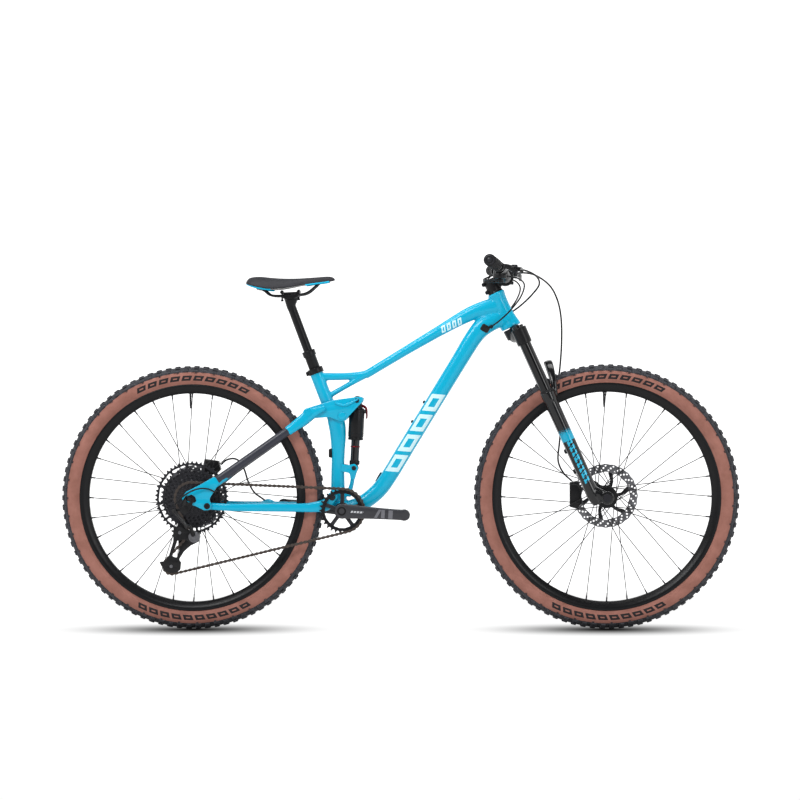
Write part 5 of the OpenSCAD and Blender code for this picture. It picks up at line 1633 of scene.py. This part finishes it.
def saddle():
    """The cover is a grid of sections from tail to nose with a groove down the middle."""
    # x, half width, crown height, lower edge at the side, underside in the middle
    rows = [(-424, 28, 974, 970, 968), (-421, 46, 979, 967.5, 966), (-414, 58, 985, 965, 964),
        (-400, 66, 988, 961, 962),
            (-380, 70.5, 988.2, 956, 961), (-356, 69.5, 985.6, 952.5,
             960), (-330, 62, 983.6, 953.5, 962), (-305, 50, 983.0, 957, 965),
            (-280, 38, 983.6, 961.5, 968), (-255, 29.2, 985.4, 965.5, 970), (-230,
             24.2, 987.4, 968.5, 972), (-208, 21.5, 989.0, 971.5, 974),
            (-192, 19.2, 988.4, 974.5, 976), (-182, 15.2, 985.4, 976.5, 978), (-177, 9, 981.0, 978, 979)]
    fine = smooth_path(rows, 4)
    n = 33
    top, low = [], []
    for x, w, crown, edge, belly in fine:
        line, under = [], []
        for u in np.linspace(-1, 1, n):
            fall = abs(u) ** 3.4
            z = crown - (crown - edge) * fall
            groove = (4.2 * math.exp(-((u * w / 8.0) ** 2)) * max(0, min(1, (x + 418) / 40))
                      * max(0, min(1, (-186 - x) / 34)))
            line.append((x, w * u, z - groove))
            under.append((x, w * u * 0.94, belly + (edge + 1.5 - belly) * abs(u) ** 2.5))
        top.append(line)
        low.append(under)
    top, skirt = np.array(top), np.array(low)
    skirt[:, :, 2] = np.minimum(skirt[:, :, 2], top[:, :, 2] - 1.0)
    seat_post()
    look = Look("saddle_cover_skin", srgb(30, 30, 35), 0.6, 0, 0, spec=0.3)
    tone_c = look.ramp(look.noise(25, 4), [(0.3, srgb(26, 26, 31)), (0.7, srgb(36, 36, 42))])
    look.color(tone_c)
    look.bump(look.noise(1900, 5, 0.6), 0.25, 0.0002)
    ob = new_object("saddle_cover_piece", two_skins(top, skirt), [look.mat])
    m_ = ob.modifiers.new("sub", "SUBSURF")
    m_.levels = m_.render_levels = 1
    apply_modifiers(ob)
    sharpen(ob, 70)
    settle(ob, "saddle_post", replaces=("saddle",))
    rear_edge = [(-420, 40, 966.5), (-412, 53, 963), (-400, 62, 958.6),
                  (-384, 66.6, 954.6), (-366, 66.6, 951.8), (-352, 65, 951.2)]
    front_edge = [(-258, 29, 963.4), (-240, 25.2, 966), (-222, 22.6, 968.6),
                   (-204, 20.4, 970.8), (-192, 18, 973)]
    strips = [sweep(path, [(1.9, 2.2)] * len(path), 12, 2.4, up=(0, 0, 1))
                    for path in (rear_edge, front_edge)]
    piece("saddle_edge", mirror_y(join(*strips)), CYAN_PRINT, "saddle_post", slot="saddle_cover", angle=60)
    rows2 = [(-416, 40, 965), (-396, 58, 958), (-372, 62, 953.5), (-344, 59, 951.5),
              (-312, 46, 955), (-280, 34, 960), (-244, 24, 966), (-206, 17, 972)]
    lo = np.array([[(x, w * u, z + 1 + 1.5 * abs(u) ** 2) for u in np.linspace(-1, 1, 13)]
                  for x, w, z in smooth_path(rows2, 4)])
    hi = lo + [0, 0, 4.0]
    piece("saddle_base", two_skins(hi, lo), PLASTIC, "saddle_post", slot="saddle_cover", angle=50)
    rail = [(-384, 31, 955), (-371, 28, 948), (-358, 24.4, 937.6), (-340, 22.2, 934.2),
             (-300, 22, 935.4), (-268, 22, 938), (-250, 20, 944), (-230, 14.5, 960), (-222, 12, 968)]
    piece("rail_pair", mirror_y(sweep(rail, 3.5, 16, per=6, up=(0, 0, 1))), DARK_STEEL, "saddle_post",
          replaces=("saddle_rails",), angle=60)
    sockets = [block((-394, s * 31 - 8, 951), (-372, s * 31 + 8, 960)) for s in (-1, 1)]
    piece("rail_sockets", join(*sockets), PLASTIC, "saddle_post", slot="saddle_cover", bevel=2.5)


# Lines -----------------------------------------------------------------------------
def hoses():
    """Brake hoses and cable housings, each along its own route."""
    front = [(330, 142, 997), (346, 122, 1000), (384, 92, 992), (424, 66, 962), (446, 52, 920),
        (456, 46, 868),
             (457, 44, 800), (452, 43, 730), (445, 43, 680), (444, 43, 640), (450, 43, 600), (453, 43, 560),
             (450, 43, 520), (446, 43, 470), (460, 42, 436), (484, 42, 412)]
    shift = [(306, -168, 980), (336, -148, 974), (352, -110, 958),
              (342, -72, 926), (314, -50, 890), (284, -38, 862), (256, -28, 842)]
    rear = [(330, -142, 996), (352, -120, 998), (384, -80, 984), (394, -36, 962), (374, -2, 934),
        (344, 28, 906),
            (316, 46, 886), (284, 40, 866), (256, 28, 846)]
    post = [(302, 168, 985), (330, 142, 976), (342, 102, 954),
             (330, 72, 920), (300, 52, 880), (268, 40, 850), (238, 28, 828)]
    caliper = [(-506, 57, 460), (-490, 53, 473), (-468, 49, 477), (-450, 47, 467), (-438, 46, 444),
        (-428, 47, 412),
               (-412, 51, 382), (-392, 54, 366), (-378, 54, 356)]
    mech = [(-505, -86, 388), (-526, -89, 398), (-556, -93, 398),
             (-588, -96, 383), (-612, -98, 362), (-618, -99, 353)]

    def tube(name, pts, r, body, replaces=()):
        return piece(name, sweep(pts, r, 16, per=7, up=(0.3, 0.5, 0.8)), HOSE, body, replaces=replaces,
                     slot="hose_black", angle=70)

    tube("front_hose_piece", front, 2.5, ("steering",
         "fork_lower", front[6], front[9]), ("front_brake_hose",))
    tube("shift_housing", shift, 2.2, ("steering", "frame", shift[2], shift[5]), ("control_cables",))
    tube("rear_hose_front", rear, 2.5, ("steering", "frame", rear[3], rear[7]))
    tube("dropper_housing", post, 2.2, ("steering", "frame", post[2], post[5]))
    tube("rear_hose_back", caliper, 2.5, ("seatstay", "chainstay", caliper[3], caliper[6]))
    tube("mech_housing", mech, 2.2, "seatstay")
    sleeves = []
    for pts in (shift, rear, post):
        a, b = np.array(pts[-2], float), np.array(pts[-1], float)
        w = (b - a) / np.linalg.norm(b - a)
        sleeves.append(turned([(-4, 4.4), (0, 5.2), (3, 5.2)], b - w * 5, b, 20))
    piece("cable_ports", join(*sleeves), RUBBER, "frame", slot="grip_rubber", bevel=0.4)


def small_hardware():
    """Bottom bracket cups, bolt heads, bottle bosses, and the frame's plugs and cable ports."""
    c = at(CRANK)
    cups = []
    for s in (-1, 1):
        cups.append(outwards([(36.6, 21.8), (38.0, 22.0), (44.0, 22.0),
                    (45.0, 21.0), (45.0, 15.2)], c, s, 56))
        for k in range(12):
            a = k * math.pi / 6
            p = at(CRANK + 21.2 * np.array([math.cos(a), math.sin(a)]), s * 41)
            cups.append(rod(p - [0, 2.6, 0], p + [0, 2.6, 0], 1.5, n=10))
    piece("bb_cups", join(*cups), BLACK, "frame", replaces=("bb_bearings",), bevel=0.25)
    heads = [rod(at(MAIN_PIVOT, -45.8), at(MAIN_PIVOT, 45.8), 6.9, n=32),
                 rod(at(SHOCK_LOW, -16.4), at(SHOCK_LOW, 16.4), 3.9, n=24)]
    for s in (-1, 1):
        for c, y, r in ((MAIN_PIVOT, 45.9, 9.0), (SHOCK_LOW, 17.0, 6.3)):
            a = at(c, s * y)
            heads.append(outwards([(-0.2, r), (1.4, r), (2.0, r - 0.8), (2.0, 3.2), (0.8, 3.0)], a, s))
    out = np.array([-DOWN_WAY[1], DOWN_WAY[0]])
    for t in (184, 248):
        a, b = (at(DOWN_LOW + t * DOWN_WAY + out * lift) for lift in (21.5, 22.5))
        heads.append(turned([(0, 4.8), (2.6, 4.8), (2.6, 4.2), (5.2, 4.2),
                     (5.8, 3.6), (5.8, 2.0), (4.4, 1.9)], a, b, 20))
    seat_plug = rounded([(-196, 482), (-196, 505), (-184, 508),
                        (-180, 502), (-180, 486), (-184, 480)], 4, 5)
    cable_clip = rounded([(-66, 416), (-52, 440), (-45, 438), (-45, 431), (-57, 410), (-64, 409)], 3, 4)
    piece("seat_tube_plug", prism(seat_plug, -11, 11), RUBBER, "frame", slot="grip_rubber", bevel=2.5)
    piece("down_tube_clip", prism(cable_clip, -7, 7), RUBBER, "frame", slot="grip_rubber", bevel=1.5)
    port = rounded([(228, 838), (238, 855), (259, 843), (249, 826)], 5, 6)
    piece("cable_port_plate", mirror_y(prism(port, 23.4, 26.6)), PLASTIC, "frame",
          slot="grip_rubber", bevel=0.8)
    piece("frame_hardware", join(*heads), BOLT, "frame", replaces=("frame_bolts",))


def main():
    camera_and_room()
    dress_nodes()
    wheels()
    main_frame()
    rear_triangle()
    rocker_and_shock()
    fork()
    cockpit()
    castings()
    cassette()
    ring()
    cranks()
    chain()
    jockeys()
    derailleur()
    saddle()
    hoses()
    small_hardware()


main()
